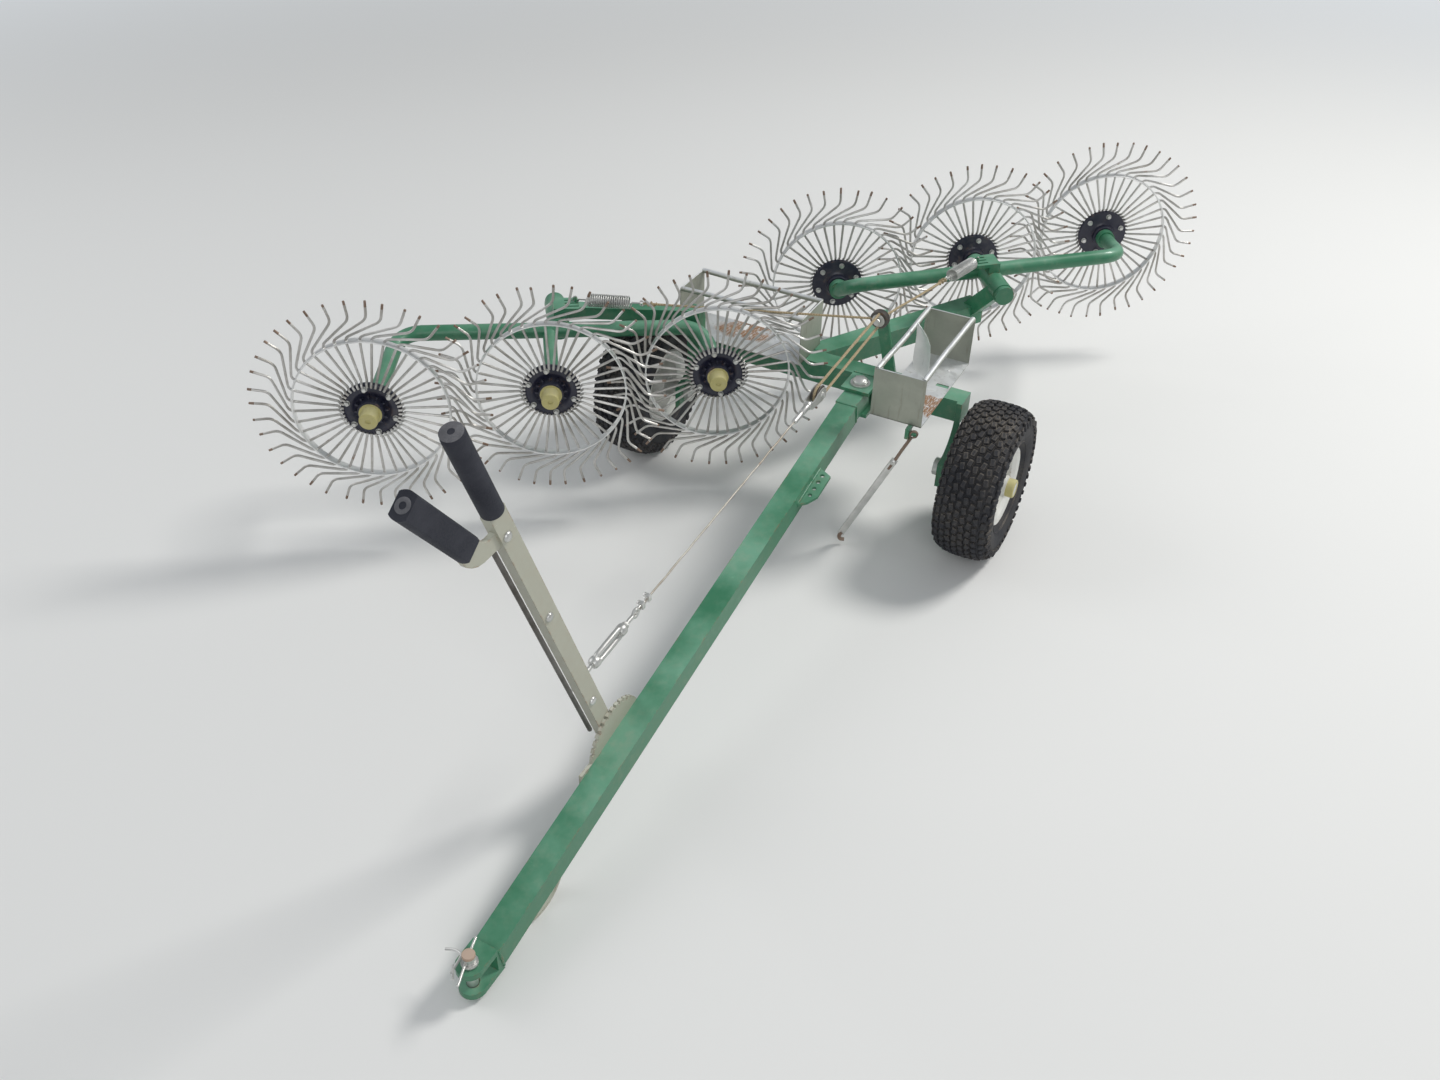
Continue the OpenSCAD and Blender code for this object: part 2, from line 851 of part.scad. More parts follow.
// Places a piece on spindle i of a gang, with +Z along the spindle's axis
module on_hub(front, i) {
    gang(front) rotate([0, -boom_tilt, 0])
        translate(hub_at(i)) rotate([0, 0, hub_turn]) rotate([0, 90, 0])
        children();
}

// Eight-sided wire, d across its flats, along a path of flat points
module wire(path, d) {
    sides = 8;
    last = len(path) - 1;
    r = d / 2 / cos(180 / sides);
    function way(i) = (path[i + 1] - path[i]) / norm(path[i + 1] - path[i]);
    function left(v) = [-v[1], v[0]];
    // Sideways step to the bend's mitre, from the ways into and out of it
    function mitre(a, b) = (left(a) + left(b)) / (1 + a * b);
    function step(i) = mitre(way(max(i - 1, 0)), way(min(i, last - 1)));
    function at(i, a) = path[i] + step(i) * r * cos(a);
    polyhedron(
        [for (i = [0:last], k = [0:sides - 1])
            let (a = (k + 0.5) * 360 / sides)
            [at(i, a)[0], at(i, a)[1], r * sin(a)]],
        concat(
            [[for (k = [0:sides - 1]) k]],
            [for (i = [0:last - 1], k = [0:sides - 1])
                let (a = i * sides + k, b = i * sides + (k + 1) % sides)
                [a, a + sides, b + sides, b]],
            [[for (k = [sides - 1:-1:0]) last * sides + k]]));
}

// One tine: out through the band, swept back, then out to its tip
module tine(hand) {
    knee = [186, -hand * 80];
    wire([[disc_r, 0], [band_r + 8, 0], knee, knee / norm(knee) * tip_r],
         tine_d);
}

// Ring of flat facets, one of them square to each tine
module tine_ring(r_in, r_out, h) {
    n = tine_n * (tine_n < 20 ? 5 : 1);
    function side(r) = [for (i = [0:n - 1])
        r / cos(180 / n) * [cos((i + 0.5) * 360 / n), sin((i + 0.5) * 360 / n)]];
    linear_extrude(h, center = true)
        difference() {
            polygon(side(r_out));
            polygon(side(r_in));
        }
}

module reel(hand) {
    tine_ring(disc_r - 2, disc_r + 3, 8);
    tine_ring(band_r - 1.5, band_r + 1.5, band_w);
    for (i = [0:tine_n - 1])
        rotate([0, 0, i * 360 / tine_n]) tine(hand);
}

module hub() {
    difference() {
        union() {
            cylinder(r = disc_r - 2, h = 8, center = true, $fn = 96);
            translate([0, 0, -22]) cylinder(r = 27, h = 44);
            translate([0, 0, 20]) cylinder(r = 19, h = 30);
            for (a = [0:60:300])
                rotate([0, 0, a]) translate([48, 0, 3])
                cylinder(r = 5, h = 5);
        }
        translate([0, 0, -23]) cylinder(r = 10.1, h = 50);
    }
}

module rake_reel(front, i) {
    color(zinc) from_floor() on_hub(front, i) reel(front ? 1 : -1);
}

module rake_hub(front, i) {
    color([0.09, 0.1, 0.12]) from_floor() on_hub(front, i) hub();
}

module rake_reel_1() { rake_reel(true, 1); }
module rake_reel_2() { rake_reel(true, 0); }
module rake_reel_3() { rake_reel(true, -1); }
module rake_reel_4() { rake_reel(false, -1); }
module rake_reel_5() { rake_reel(false, 0); }
module rake_reel_6() { rake_reel(false, 1); }
module rake_hub_1() { rake_hub(true, 1); }
module rake_hub_2() { rake_hub(true, 0); }
module rake_hub_3() { rake_hub(true, -1); }
module rake_hub_4() { rake_hub(false, -1); }
module rake_hub_5() { rake_hub(false, 0); }
module rake_hub_6() { rake_hub(false, 1); }

main_beam();
front_arm();
rear_arm();
left_leg();
right_leg();
left_axle();
right_axle();
left_rim();
right_rim();
left_tyre();
right_tyre();
left_tray();
right_tray();
mast();
mast_pulley();
tongue_bolt();
tongue();
hitch_clevis();
skid_foot();
notch_plate();
lever_sector();
lever();
lever_grip();
latch_handle();
latch_grip();
latch_rod();
turnbuckle();
lift_wire();
pulley_block();
lock_rod();
front_boom();
rear_boom();
front_spring();
rear_spring();
rake_reel_1();
rake_reel_2();
rake_reel_3();
rake_reel_4();
rake_reel_5();
rake_reel_6();
rake_hub_1();
rake_hub_2();
rake_hub_3();
rake_hub_4();
rake_hub_5();
rake_hub_6();
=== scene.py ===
import math
import random

import bmesh
import bpy
from mathutils import Matrix, Vector


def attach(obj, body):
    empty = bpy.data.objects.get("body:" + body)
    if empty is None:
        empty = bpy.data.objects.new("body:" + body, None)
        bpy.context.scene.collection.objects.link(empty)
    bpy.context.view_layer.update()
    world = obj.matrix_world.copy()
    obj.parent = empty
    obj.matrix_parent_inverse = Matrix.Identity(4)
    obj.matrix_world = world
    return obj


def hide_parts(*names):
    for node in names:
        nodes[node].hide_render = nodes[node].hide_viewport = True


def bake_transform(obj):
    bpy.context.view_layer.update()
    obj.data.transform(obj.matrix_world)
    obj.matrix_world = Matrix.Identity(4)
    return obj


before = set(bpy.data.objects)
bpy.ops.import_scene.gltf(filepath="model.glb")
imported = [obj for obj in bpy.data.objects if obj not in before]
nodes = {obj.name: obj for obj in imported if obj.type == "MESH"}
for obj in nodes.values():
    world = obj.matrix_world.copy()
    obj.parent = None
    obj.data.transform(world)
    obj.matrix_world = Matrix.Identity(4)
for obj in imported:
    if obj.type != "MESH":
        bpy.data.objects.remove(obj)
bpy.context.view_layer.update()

# Places of pieces are in millimetres from the floor under the axle's middle

MM = 0.001
HITCH = Vector((1430, 108, 40))
TO_PART = Matrix.Translation(-HITCH * MM)
FLOOR = -HITCH.z * MM


# Camera at the photograph's viewing angle

def camera(at, angles, lens):
    data = bpy.data.cameras.new("camera")
    data.sensor_width = 36.0
    data.lens = lens
    data.clip_end = 60.0
    obj = bpy.data.objects.new("camera", data)
    bpy.context.scene.collection.objects.link(obj)
    obj.location = at
    obj.rotation_euler = [math.radians(a) for a in angles]
    bpy.context.scene.camera = obj


camera((0.8484, 0.8258, 1.7219), (52.019, -1.189, 117.702), lens=32.49)


# Node materials

class Mat:
    """A node material with short calls for the nodes it needs."""

    def __init__(self, name):
        self.mat = bpy.data.materials.new(name)
        self.mat.use_nodes = True
        self.tree = self.mat.node_tree
        self.shader = self.tree.nodes["Principled BSDF"]
        self.at = self.new("ShaderNodeTexCoord").outputs["Object"]

    def new(self, kind, **values):
        made = self.tree.nodes.new(kind)
        for key, value in values.items():
            setattr(made, key, value)
        return made

    def link(self, a, b):
        self.tree.links.new(a, b)

    def put(self, socket, value):
        """Links a socket, or sets it to a number or to a colour of three numbers."""
        if isinstance(value, bpy.types.NodeSocket):
            self.link(value, socket)
        else:
            socket.default_value = (*value, 1) if isinstance(value, tuple) else value

    def split(self, vector):
        made = self.new("ShaderNodeSeparateXYZ")
        self.link(vector, made.inputs[0])
        return made.outputs

    def scaled(self, x, y, z, turned=(0, 0, 0)):
        made = self.new("ShaderNodeMapping")
        made.inputs["Scale"].default_value = (x, y, z)
        made.inputs["Rotation"].default_value = turned
        self.link(self.at, made.inputs["Vector"])
        return made.outputs["Vector"]

    def noise(self, scale, detail=4.0, rough=0.55, at=None):
        made = self.new("ShaderNodeTexNoise")
        self.link(at or self.at, made.inputs["Vector"])
        made.inputs["Scale"].default_value = scale
        made.inputs["Detail"].default_value = detail
        made.inputs["Roughness"].default_value = rough
        return made.outputs["Fac"]

    def cells(self, scale):
        """A grey level of its own for each cell of a cell pattern."""
        made = self.new("ShaderNodeTexVoronoi")
        self.link(self.at, made.inputs["Vector"])
        made.inputs["Scale"].default_value = scale
        grey = self.new("ShaderNodeRGBToBW")
        self.link(made.outputs["Color"], grey.inputs[0])
        return grey.outputs[0]

    def ramp(self, value, low, high, a=0.0, b=1.0):
        """Takes low to high onto a to b, and holds the ends."""
        made = self.new("ShaderNodeMapRange")
        self.put(made.inputs["Value"], value)
        made.inputs["From Min"].default_value = low
        made.inputs["From Max"].default_value = high
        made.inputs["To Min"].default_value = a
        made.inputs["To Max"].default_value = b
        return made.outputs["Result"]

    def calc(self, operation, a, b, clamp):
        made = self.new("ShaderNodeMath", operation=operation)
        made.use_clamp = clamp
        self.put(made.inputs[0], a)
        self.put(made.inputs[1], b)
        return made.outputs[0]

    def mul(self, a, b):
        return self.calc("MULTIPLY", a, b, False)

    def add(self, a, b):
        return self.calc("ADD", a, b, True)

    def sub(self, a, b):
        return self.calc("SUBTRACT", a, b, True)

    def mix(self, share, a, b):
        made = self.new("ShaderNodeMix", data_type="RGBA")
        self.put(made.inputs[0], share)
        self.put(made.inputs[6], a)
        self.put(made.inputs[7], b)
        return made.outputs[2]

    def edges(self, wide=0.004):
        """How much of an outer edge a point lies on, from the bevelled normal."""
        bevel = self.new("ShaderNodeBevel", samples=4)
        bevel.inputs["Radius"].default_value = wide
        flat = self.new("ShaderNodeNewGeometry")
        dot = self.new("ShaderNodeVectorMath", operation="DOT_PRODUCT")
        self.link(bevel.outputs[0], dot.inputs[0])
        self.link(flat.outputs["True Normal"], dot.inputs[1])
        return self.ramp(dot.outputs["Value"], 0.985, 0.90)

    def facing_up(self):
        normal = self.new("ShaderNodeNewGeometry").outputs["Normal"]
        return self.ramp(self.split(normal)[2], 0.3, 0.95)

    def colour(self, value):
        self.put(self.shader.inputs["Base Color"], value)

    def rough(self, value):
        self.put(self.shader.inputs["Roughness"], value)

    def metal(self, value):
        self.put(self.shader.inputs["Metallic"], value)

    def bump(self, value, strength, depth):
        made = self.new("ShaderNodeBump")
        made.inputs["Strength"].default_value = strength
        made.inputs["Distance"].default_value = depth
        self.link(value, made.inputs["Height"])
        self.link(made.outputs["Normal"], self.shader.inputs["Normal"])


RUST = (0.16, 0.065, 0.028)
DUST = (0.42, 0.38, 0.30)
DIRT = (0.25, 0.22, 0.17)


def paint(name, base, faded, chip, rust, dust, gloss=0.32):
    """Worn paint: faded on top, chipped and rusty along edges, dusty in spots."""
    m = Mat(name)
    broad = m.noise(6.0, 5.0)
    fine = m.noise(60.0, 6.0, 0.6)
    grit = m.noise(260.0, 3.0, 0.7)
    fade = m.mul(m.facing_up(), m.ramp(broad, 0.35, 0.65))
    shade = m.mix(fade, base, faded)
    scratch = m.noise(9.0, 6.0, 0.7, m.scaled(3.0, 3.0, 40.0, (0.6, 0.9, 0.2)))
    scratch = m.ramp(scratch, 0.665, 0.70)
    pale = tuple(min(1.0, c * 1.6 + 0.10) for c in base)
    shade = m.mix(m.mul(scratch, 0.45), shade, pale)
    worn = m.mul(m.edges(), m.ramp(fine, 0.62 - 0.2 * chip, 0.70))
    spots_from = 0.745 - 0.05 * rust
    spots = m.ramp(m.noise(38.0, 7.0, 0.72), spots_from, spots_from + 0.03)
    bare = m.add(worn, spots)
    rusty = m.mix(m.ramp(grit, 0.35, 0.65), RUST, (0.30, 0.14, 0.06))
    shade = m.mix(bare, shade, rusty)
    film = m.mul(m.ramp(fine, 0.46, 0.74), dust)
    film = m.mul(film, m.ramp(broad, 0.3, 0.7))
    m.colour(m.mix(film, shade, DUST))
    m.rough(m.add(m.ramp(fine, 0.3, 0.7, gloss, gloss + 0.16), m.mul(bare, 0.35)))
    relief = m.sub(m.ramp(fine, 0.3, 0.7, 0.5, 0.6), m.mul(bare, 0.4))
    m.bump(relief, 0.35, 0.0006)
    m.shader.inputs["Coat Weight"].default_value = 0.12
    return m.mat


def bright_steel(name, base, dark, rust, rough=0.34, scale=1.0, metal=0.85):
    """Zinc plate or bare steel, dulled in patches, with some rust."""
    m = Mat(name)
    patch = m.noise(16.0 * scale, 6.0, 0.62)
    fine = m.noise(120.0 * scale, 4.0, 0.6)
    shade = m.mix(m.ramp(patch, 0.36, 0.66), base, dark)
    spots = m.noise(30.0 * scale, 7.0, 0.7)
    spots = m.ramp(spots, 0.70 - 0.16 * rust, 0.80 - 0.12 * rust)
    rusty = m.mix(fine, RUST, (0.32, 0.15, 0.07))
    m.colour(m.mix(m.mul(spots, 0.85), shade, rusty))
    m.metal(m.mul(m.ramp(spots, 0.0, 1.0, 1.0, 0.2), metal))
    m.rough(m.add(m.ramp(fine, 0.3, 0.7, rough, rough + 0.14), m.mul(spots, 0.35)))
    m.bump(fine, 0.18, 0.0003)
    return m.mat


def rust_patch(m):
    """The stained parts of the trays' floors, as a mask in the part's metres."""
    x, y, z = m.split(m.at)
    left = m.mul(m.ramp(x, -1.495, -1.460), m.ramp(x, -1.380, -1.410))
    left = m.mul(left, m.ramp(y, 0.120, 0.145))
    right = m.mul(m.ramp(y, -0.245, -0.285), m.ramp(y, -0.41, -0.36))
    right = m.mul(right, m.ramp(x, -1.475, -1.515))
    mask = m.mul(m.add(left, right), m.ramp(z, 0.274, 0.270))
    blot = m.ramp(m.noise(26.0, 4.0, 0.6), 0.30, 0.62)
    mask = m.ramp(m.mul(mask, blot), 0.22, 0.42)
    straw = m.noise(60.0, 6.0, 0.7, m.scaled(1.0, 6.0, 1.0, (0, 0, 0.7)))
    return m.mul(mask, m.ramp(straw, 0.36, 0.52))


def galvanised(name, rust, side, stained):
    """Spangled zinc sheet, dirty and rusty, pale on top, with its other faces in the side
    colour: painted shade on the trays, painted sunlight on the curl.
    """
    m = Mat(name)
    spangle = m.cells(70.0)
    bloom = m.noise(9.0, 6.0, 0.6)
    fine = m.noise(150.0, 4.0)
    tone = m.mix(spangle, (0.66, 0.68, 0.70), (0.80, 0.82, 0.84))
    tone = m.mix(m.ramp(bloom, 0.42, 0.66), tone, (0.70, 0.71, 0.70))
    # Painted light and shade: faces that don't face up get the side colour instead of the
    # zinc's own tone.
    side_light_tone = m.mix(m.ramp(bloom, 0.35, 0.65), side, tuple(c * 1.25 for c in side))
    tone = m.mix(m.facing_up(), side_light_tone, tone)
    streak = m.noise(7.0, 5.0, 0.7, m.scaled(9.0, 9.0, 1.0))
    dirt = m.mul(m.ramp(streak, 0.56, 0.72), 0.45)
    tone = m.mix(dirt, tone, DIRT)
    spots = m.noise(13.0, 8.0, 0.72)
    spots = m.ramp(spots, 0.725 - 0.10 * rust, 0.77 - 0.10 * rust)
    if stained:
        spots = m.add(spots, rust_patch(m))
    m.colour(m.mix(spots, tone, m.mix(fine, RUST, (0.44, 0.27, 0.15))))
    m.metal(m.ramp(spots, 0.0, 1.0, 0.70, 0.1))
    m.rough(m.add(m.ramp(spangle, 0.0, 1.0, 0.46, 0.60),
                  m.mul(m.add(dirt, spots), 0.4)))
    m.bump(m.noise(5.0, 2.0), 0.25, 0.004)
    return m.mat


def rubber(name, base, dusty, dust, scale=1.0, bump=0.3, rim=0.0):
    """Rubber under a thin film of dust; by rim, its upward edges get more of the dusty
    colour, partly dust and partly a painted highlight.
    """
    m = Mat(name)
    broad = m.noise(11.0 * scale, 6.0, 0.65)
    fine = m.noise(190.0 * scale, 4.0, 0.7)
    film = m.mul(m.ramp(broad, 0.38, 0.72), dust)
    film = m.mul(film, m.ramp(fine, 0.3, 0.7))
    if rim:
        # Upward edges made paler: partly dust, partly a painted edge highlight.
        worn = m.mul(m.edges(0.003), m.ramp(broad, 0.35, 0.6))
        worn = m.mul(worn, m.facing_up())
        film = m.add(film, m.mul(worn, rim))
    m.colour(m.mix(film, base, dusty))
    m.rough(m.ramp(fine, 0.3, 0.7, 0.62, 0.88))
    m.bump(fine, bump, 0.0006)
    m.shader.inputs["Specular IOR Level"].default_value = 0.35
    return m.mat


def rope(name):
    """Tan rope with its lay and fibres."""
    m = Mat(name)
    lay = m.new("ShaderNodeTexWave", wave_type="BANDS", bands_direction="DIAGONAL")
    m.link(m.at, lay.inputs["Vector"])
    lay.inputs["Scale"].default_value = 160.0
    lay.inputs["Distortion"].default_value = 1.2
    fibre = m.noise(420.0, 4.0, 0.7)
    strand = m.mix(lay.outputs["Fac"], (0.20, 0.14, 0.075), (0.44, 0.34, 0.20))
    m.colour(m.mix(m.ramp(fibre, 0.35, 0.7), strand, (0.50, 0.42, 0.28)))
    m.rough(0.9)
    m.bump(lay.outputs["Fac"], 0.6, 0.0008)
    return m.mat


GREEN = paint("worn_green_paint", (0.034, 0.18, 0.092), (0.16, 0.365, 0.25),
              chip=0.45, rust=0.25, dust=0.25)
CREAM = paint("worn_cream_paint", (0.40, 0.40, 0.325), (0.55, 0.56, 0.48),
              chip=0.8, rust=0.7, dust=0.4, gloss=0.42)
WHITE = paint("white_rim_paint", (0.66, 0.66, 0.63), (0.74, 0.74, 0.71),
              chip=0.4, rust=0.35, dust=0.35)
CAP = paint("yellowed_cap", (0.48, 0.43, 0.17), (0.60, 0.56, 0.30),
            chip=0.3, rust=0.3, dust=0.5, gloss=0.36)
PIN_HEAD = paint("tan_pin_head", (0.44, 0.31, 0.23), (0.60, 0.48, 0.40),
                 chip=0.3, rust=0.4, dust=0.4, gloss=0.5)
# The hub's black is tinted blue for the bluish shade in its recess: partly black paint,
# partly painted shade.
BLACK = paint("hub_black_paint", (0.014, 0.015, 0.034), (0.035, 0.04, 0.065),
              chip=0.3, rust=0.1, dust=0.12, gloss=0.34)
ZINC = bright_steel("dull_zinc_plate", (0.72, 0.72, 0.70), (0.50, 0.50, 0.48),
                    rust=0.15)
SPRING = bright_steel("spring_zinc", (0.66, 0.66, 0.64), (0.44, 0.44, 0.42),
                      rust=0.2, rough=0.3)
WIRE = bright_steel("weathered_tine_wire", (0.66, 0.65, 0.63), (0.38, 0.36, 0.33),
                    rust=0.35, rough=0.40, scale=0.8)
RUSTY = bright_steel("rusty_wire", (0.34, 0.26, 0.21), (0.22, 0.15, 0.11),
                     rust=0.6, rough=0.6)
CABLE = bright_steel("old_cable", (0.50, 0.47, 0.42), (0.34, 0.29, 0.23),
                     rust=0.5, rough=0.45, metal=0.6)
BAND = bright_steel("bright_band", (0.88, 0.88, 0.87), (0.70, 0.70, 0.69),
                    rust=0.15, rough=0.30, metal=0.7)
DARK_STEEL = bright_steel("dark_steel", (0.20, 0.19, 0.18), (0.09, 0.08, 0.07),
                          rust=0.6, rough=0.5)
# The trays' side colour is painted shade: their upright faces come out dark olive.
SHEET = galvanised("spangled_sheet", 0.3, (0.34, 0.35, 0.30), stained=True)
# A lit copy of the zinc sheet: the curl's upright faces are painted near white, brighter
# than the zinc's own tone, as painted sunlight.
SUNLIT_CURL = galvanised("sunlit_zinc_sheet", 0.2, (0.80, 0.81, 0.80), stained=False)
# rim paints the tyre's upward knob edges paler, partly dust and partly a painted
# highlight.
TYRE = rubber("dusty_tyre_edge_highlit", (0.018, 0.020, 0.027), (0.27, 0.235, 0.19),
              dust=0.32, rim=0.75)
GRIP_END = rubber("dusty_grip_end", (0.10, 0.10, 0.11), (0.30, 0.30, 0.32),
                  scale=3.0, dust=0.9)
GRIP = rubber("grip_rubber", (0.022, 0.024, 0.034), (0.11, 0.11, 0.135),
              scale=2.0, dust=0.4, bump=0.5)
ROPE = rope("tan_rope")

WHEEL_NUMBERS = range(1, 7)
SKINS = (
    (GREEN, "main_beam front_arm rear_arm left_leg right_leg mast tongue "
            "hitch_clevis notch_plate front_boom rear_boom"),
    (CREAM, "skid_foot lever_sector lever latch_handle"),
    (WHITE, "left_rim right_rim"),
    (ZINC, "left_axle right_axle tongue_bolt turnbuckle lift_wire pulley_block "
           "lock_rod"),
    (SPRING, "front_spring rear_spring"),
    (SHEET, "left_tray right_tray"),
    (GRIP, "lever_grip latch_grip"),
    (TYRE, "left_tyre right_tyre"),
    (DARK_STEEL, "mast_pulley latch_rod"),
    (WIRE, " ".join("rake_reel_%d" % number for number in WHEEL_NUMBERS)),
    (BLACK, " ".join("rake_hub_%d" % number for number in WHEEL_NUMBERS)),
)
for skin, names in SKINS:
    for name in names.split():
        nodes[name].data.materials.clear()
        nodes[name].data.materials.append(skin)


# Mesh helpers

# Radius at which a turned form ends on its axis
CORE = 0.01
BOTH_SIDES = (-1, 1)


def turn(degrees, axis):
    return Matrix.Rotation(math.radians(degrees), 4, axis)


def shift(x, y, z):
    """A shift given in millimetres."""
    return Matrix.Translation((x * MM, y * MM, z * MM))


def facing(a, b):
    """Takes +Z onto the way from a to b and keeps +Y level."""
    d = b - a
    return (Matrix.Translation(a * MM)
            @ Matrix.Rotation(math.atan2(d.y, d.x), 4, "Z")
            @ Matrix.Rotation(math.acos(d.z / d.length), 4, "Y"))


def rounded(points, radius, steps=5):
    """The polyline with each inner corner replaced by an arc-like curve."""
    points = [Vector(p) for p in points]
    out = [points[0]]
    for a, b, c in zip(points, points[1:], points[2:]):
        one = (a - b).normalized()
        two = (c - b).normalized()
        reach = min(radius, (a - b).length * 0.45, (c - b).length * 0.45)
        start = b + one * reach
        end = b + two * reach
        for k in range(steps + 1):
            t = k / steps
            out.append(start.lerp(b, t).lerp(b.lerp(end, t), t))
    out.append(points[-1])
    return out


def bow(radius, middle_z, angles, up=1):
    """Points around (0, 0, middle_z) in the XZ plane, at angles from +Z or -Z."""
    points = []
    for a in angles:
        a = math.radians(a)
        points.append((radius * math.sin(a), 0, middle_z + up * radius * math.cos(a)))
    return points


def mirrored(half):
    """A profile that is its own mirror image in z = 0, from its upper half."""
    low = [(r, -z) for r, z in half]
    return low + [(r, z) for r, z in reversed(half) if z]


class Build:
    """Collects simple forms, in millimetres, into one mesh piece."""

    def __init__(self, place):
        self.place = place
        self.verts = []
        self.faces = []

    def add(self, verts, faces, place=None):
        base = len(self.verts)
        move = self.place @ place if place else self.place
        for v in verts:
            self.verts.append(move @ (Vector(v) * MM))
        for f in faces:
            self.faces.append([base + i for i in f])

    def tube(self, points, radius, sides=8, place=None):
        """A round wire through the points; radius may be one per point."""
        points = [Vector(p) for p in points]
        count = len(points)
        radii = radius if isinstance(radius, list) else [radius] * count
        along = []
        for i in range(count):
            step = points[min(i + 1, count - 1)] - points[max(i - 1, 0)]
            along.append(step.normalized())
        side = along[0].orthogonal().normalized()
        verts = []
        for p, d, r in zip(points, along, radii):
            side = (side - d * side.dot(d)).normalized()
            other = d.cross(side)
            for k in range(sides):
                a = 2 * math.pi * k / sides
                verts.append(p + (side * math.cos(a) + other * math.sin(a)) * r)
        last = (count - 1) * sides
        faces = []
        for i in range(0, last, sides):
            for k in range(sides):
                j = (k + 1) % sides
                faces.append([i + k, i + j, i + sides + j, i + sides + k])
        faces.append(list(range(sides))[::-1])
        faces.append([last + k for k in range(sides)])
        self.add(verts, faces, place)

    def lathe(self, profile, sides, place=None, closed=False, based=False):
        """Turns (radius, height) points about +Z; based fills the first ring."""
        verts = []
        for k in range(sides):
            a = 2 * math.pi * k / sides
            for r, z in profile:
                verts.append((r * math.cos(a), r * math.sin(a), z))
        n = len(profile)
        faces = []
        for k in range(sides):
            nxt = (k + 1) % sides
            for i in range(n if closed else n - 1):
                j = (i + 1) % n
                faces.append([k * n + i, nxt * n + i, nxt * n + j, k * n + j])
        if based:
            faces.append([k * n for k in reversed(range(sides))])
        self.add(verts, faces, place)

    def block(self, low, high, cut, place=None, steps=2):
        """A box between two corners with its edges rounded off by cut."""
        low, high = Vector(low), Vector(high)
        bm = bmesh.new()
        bmesh.ops.create_cube(bm, size=1.0)
        for v in bm.verts:
            share = v.co + Vector((0.5, 0.5, 0.5))
            v.co = low + share * (high - low)
        bmesh.ops.bevel(bm, geom=list(bm.edges), offset=cut, segments=steps,
                        affect="EDGES", profile=0.6)
        bm.verts.index_update()
        verts = [v.co.copy() for v in bm.verts]
        faces = [[v.index for v in f.verts] for f in bm.faces]
        bm.free()
        self.add(verts, faces, place)

    def hexagon(self, across, height, place):
        """A bolt head or nut standing on z = 0, with chamfered corners."""
        r = across / 2 / math.cos(math.pi / 6)
        rings = [(r, 0.0), (r, height * 0.82), (r * 0.88, height), (CORE, height)]
        self.lathe(rings, 6, place, based=True)

    def bolt(self, place, across, height, washer, stud=0):
        """A bolt head on its washer, with the stud's end past it."""
        thick, rim = 1.8, washer / 2
        self.lathe([(CORE, 0), (rim, 0), (rim, thick - 0.6), (rim - 0.6, thick),
                    (CORE, thick)], 20, place)
        self.hexagon(across, height, place @ shift(0, 0, thick))
        if stud:
            self.tube([(0, 0, height), (0, 0, height + stud)], across * 0.3, 10, place)

    def done(self, name, skin, body, replaces=None, smooth_angle=40):
        """Makes the piece, smooth where its faces meet at less than the angle."""
        mesh = bpy.data.meshes.new(name)
        mesh.from_pydata(self.verts, [], self.faces)
        mesh.validate()
        bm = bmesh.new()
        bm.from_mesh(mesh)
        bmesh.ops.recalc_face_normals(bm, faces=bm.faces)
        limit = math.radians(smooth_angle)
        for face in bm.faces:
            face.smooth = True
        for edge in bm.edges:
            if len(edge.link_faces) == 2:
                edge.smooth = edge.calc_face_angle(0.0) < limit
        bm.to_mesh(mesh)
        bm.free()
        mesh.materials.append(skin)
        piece = bpy.data.objects.new(name, mesh)
        bpy.context.scene.collection.objects.link(piece)
        if body:
            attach(piece, body)
        if replaces:
            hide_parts(replaces)
        return piece


# Places of the booms and of the rake wheels on them

BOOM_ANGLE = 52
BOOM_TILT = 3
HUB_TURN = 82.5
HUB_LINE = 8
WHEEL_STEP = 367
MID_HUB = Vector((31, 262, -50))
PIVOT = {"front": (130, -575, 375), "rear": (-467, 258, 375)}


def boom_place(gang):
    angle = -BOOM_ANGLE if gang == "front" else 180 - BOOM_ANGLE
    return shift(*PIVOT[gang]) @ turn(angle, "Z") @ turn(-BOOM_TILT, "Y")


def hub_place(gang, i):
    """The place of a hub with its axis along +Z, i steps out from the middle one."""
    a = math.radians(HUB_LINE)
    hub = MID_HUB + Vector((math.cos(a), math.sin(a), 0)) * WHEEL_STEP * i
    return (TO_PART @ boom_place(gang) @ shift(*hub) @ turn(HUB_TURN, "Z")
            @ turn(90, "Y"))


# Rake wheels: tines on a flat band, hub disc with its bolts, boss and cap

TINES = 40
TINE_STEP = 360 / TINES
TINE_R = 2.7
KNEE_OUT, KNEE_ASIDE, TIP_OUT = 186, 80, 241.5
BAND_IN, BAND_OUT, BAND_HALF, BAND_EDGE = 154.6, 157.6, 9, 0.6
DISC_FACE = 6
HUB_BORE = 10.2


def tine(hand, along, aside, out):
    """A tine's wire from the hub disc to near its tip, and its rusty end."""
    knee = Vector((KNEE_OUT + along, -hand * (KNEE_ASIDE + aside), out * 0.6))
    tip = knee.normalized() * TIP_OUT
    tip.z = out * 1.6
    rust_at = tip.lerp(knee, random.uniform(3, 13) / (tip - knee).length)
    wire = [(54, 0, 8.6), (60.8, 0, 8.4), (63.4, 0, 4), (66, 0, 0), (76, 0, 0),
            (164, 0, 0), knee, rust_at]
    return rounded(wire, 11, 4), [rust_at, tip]


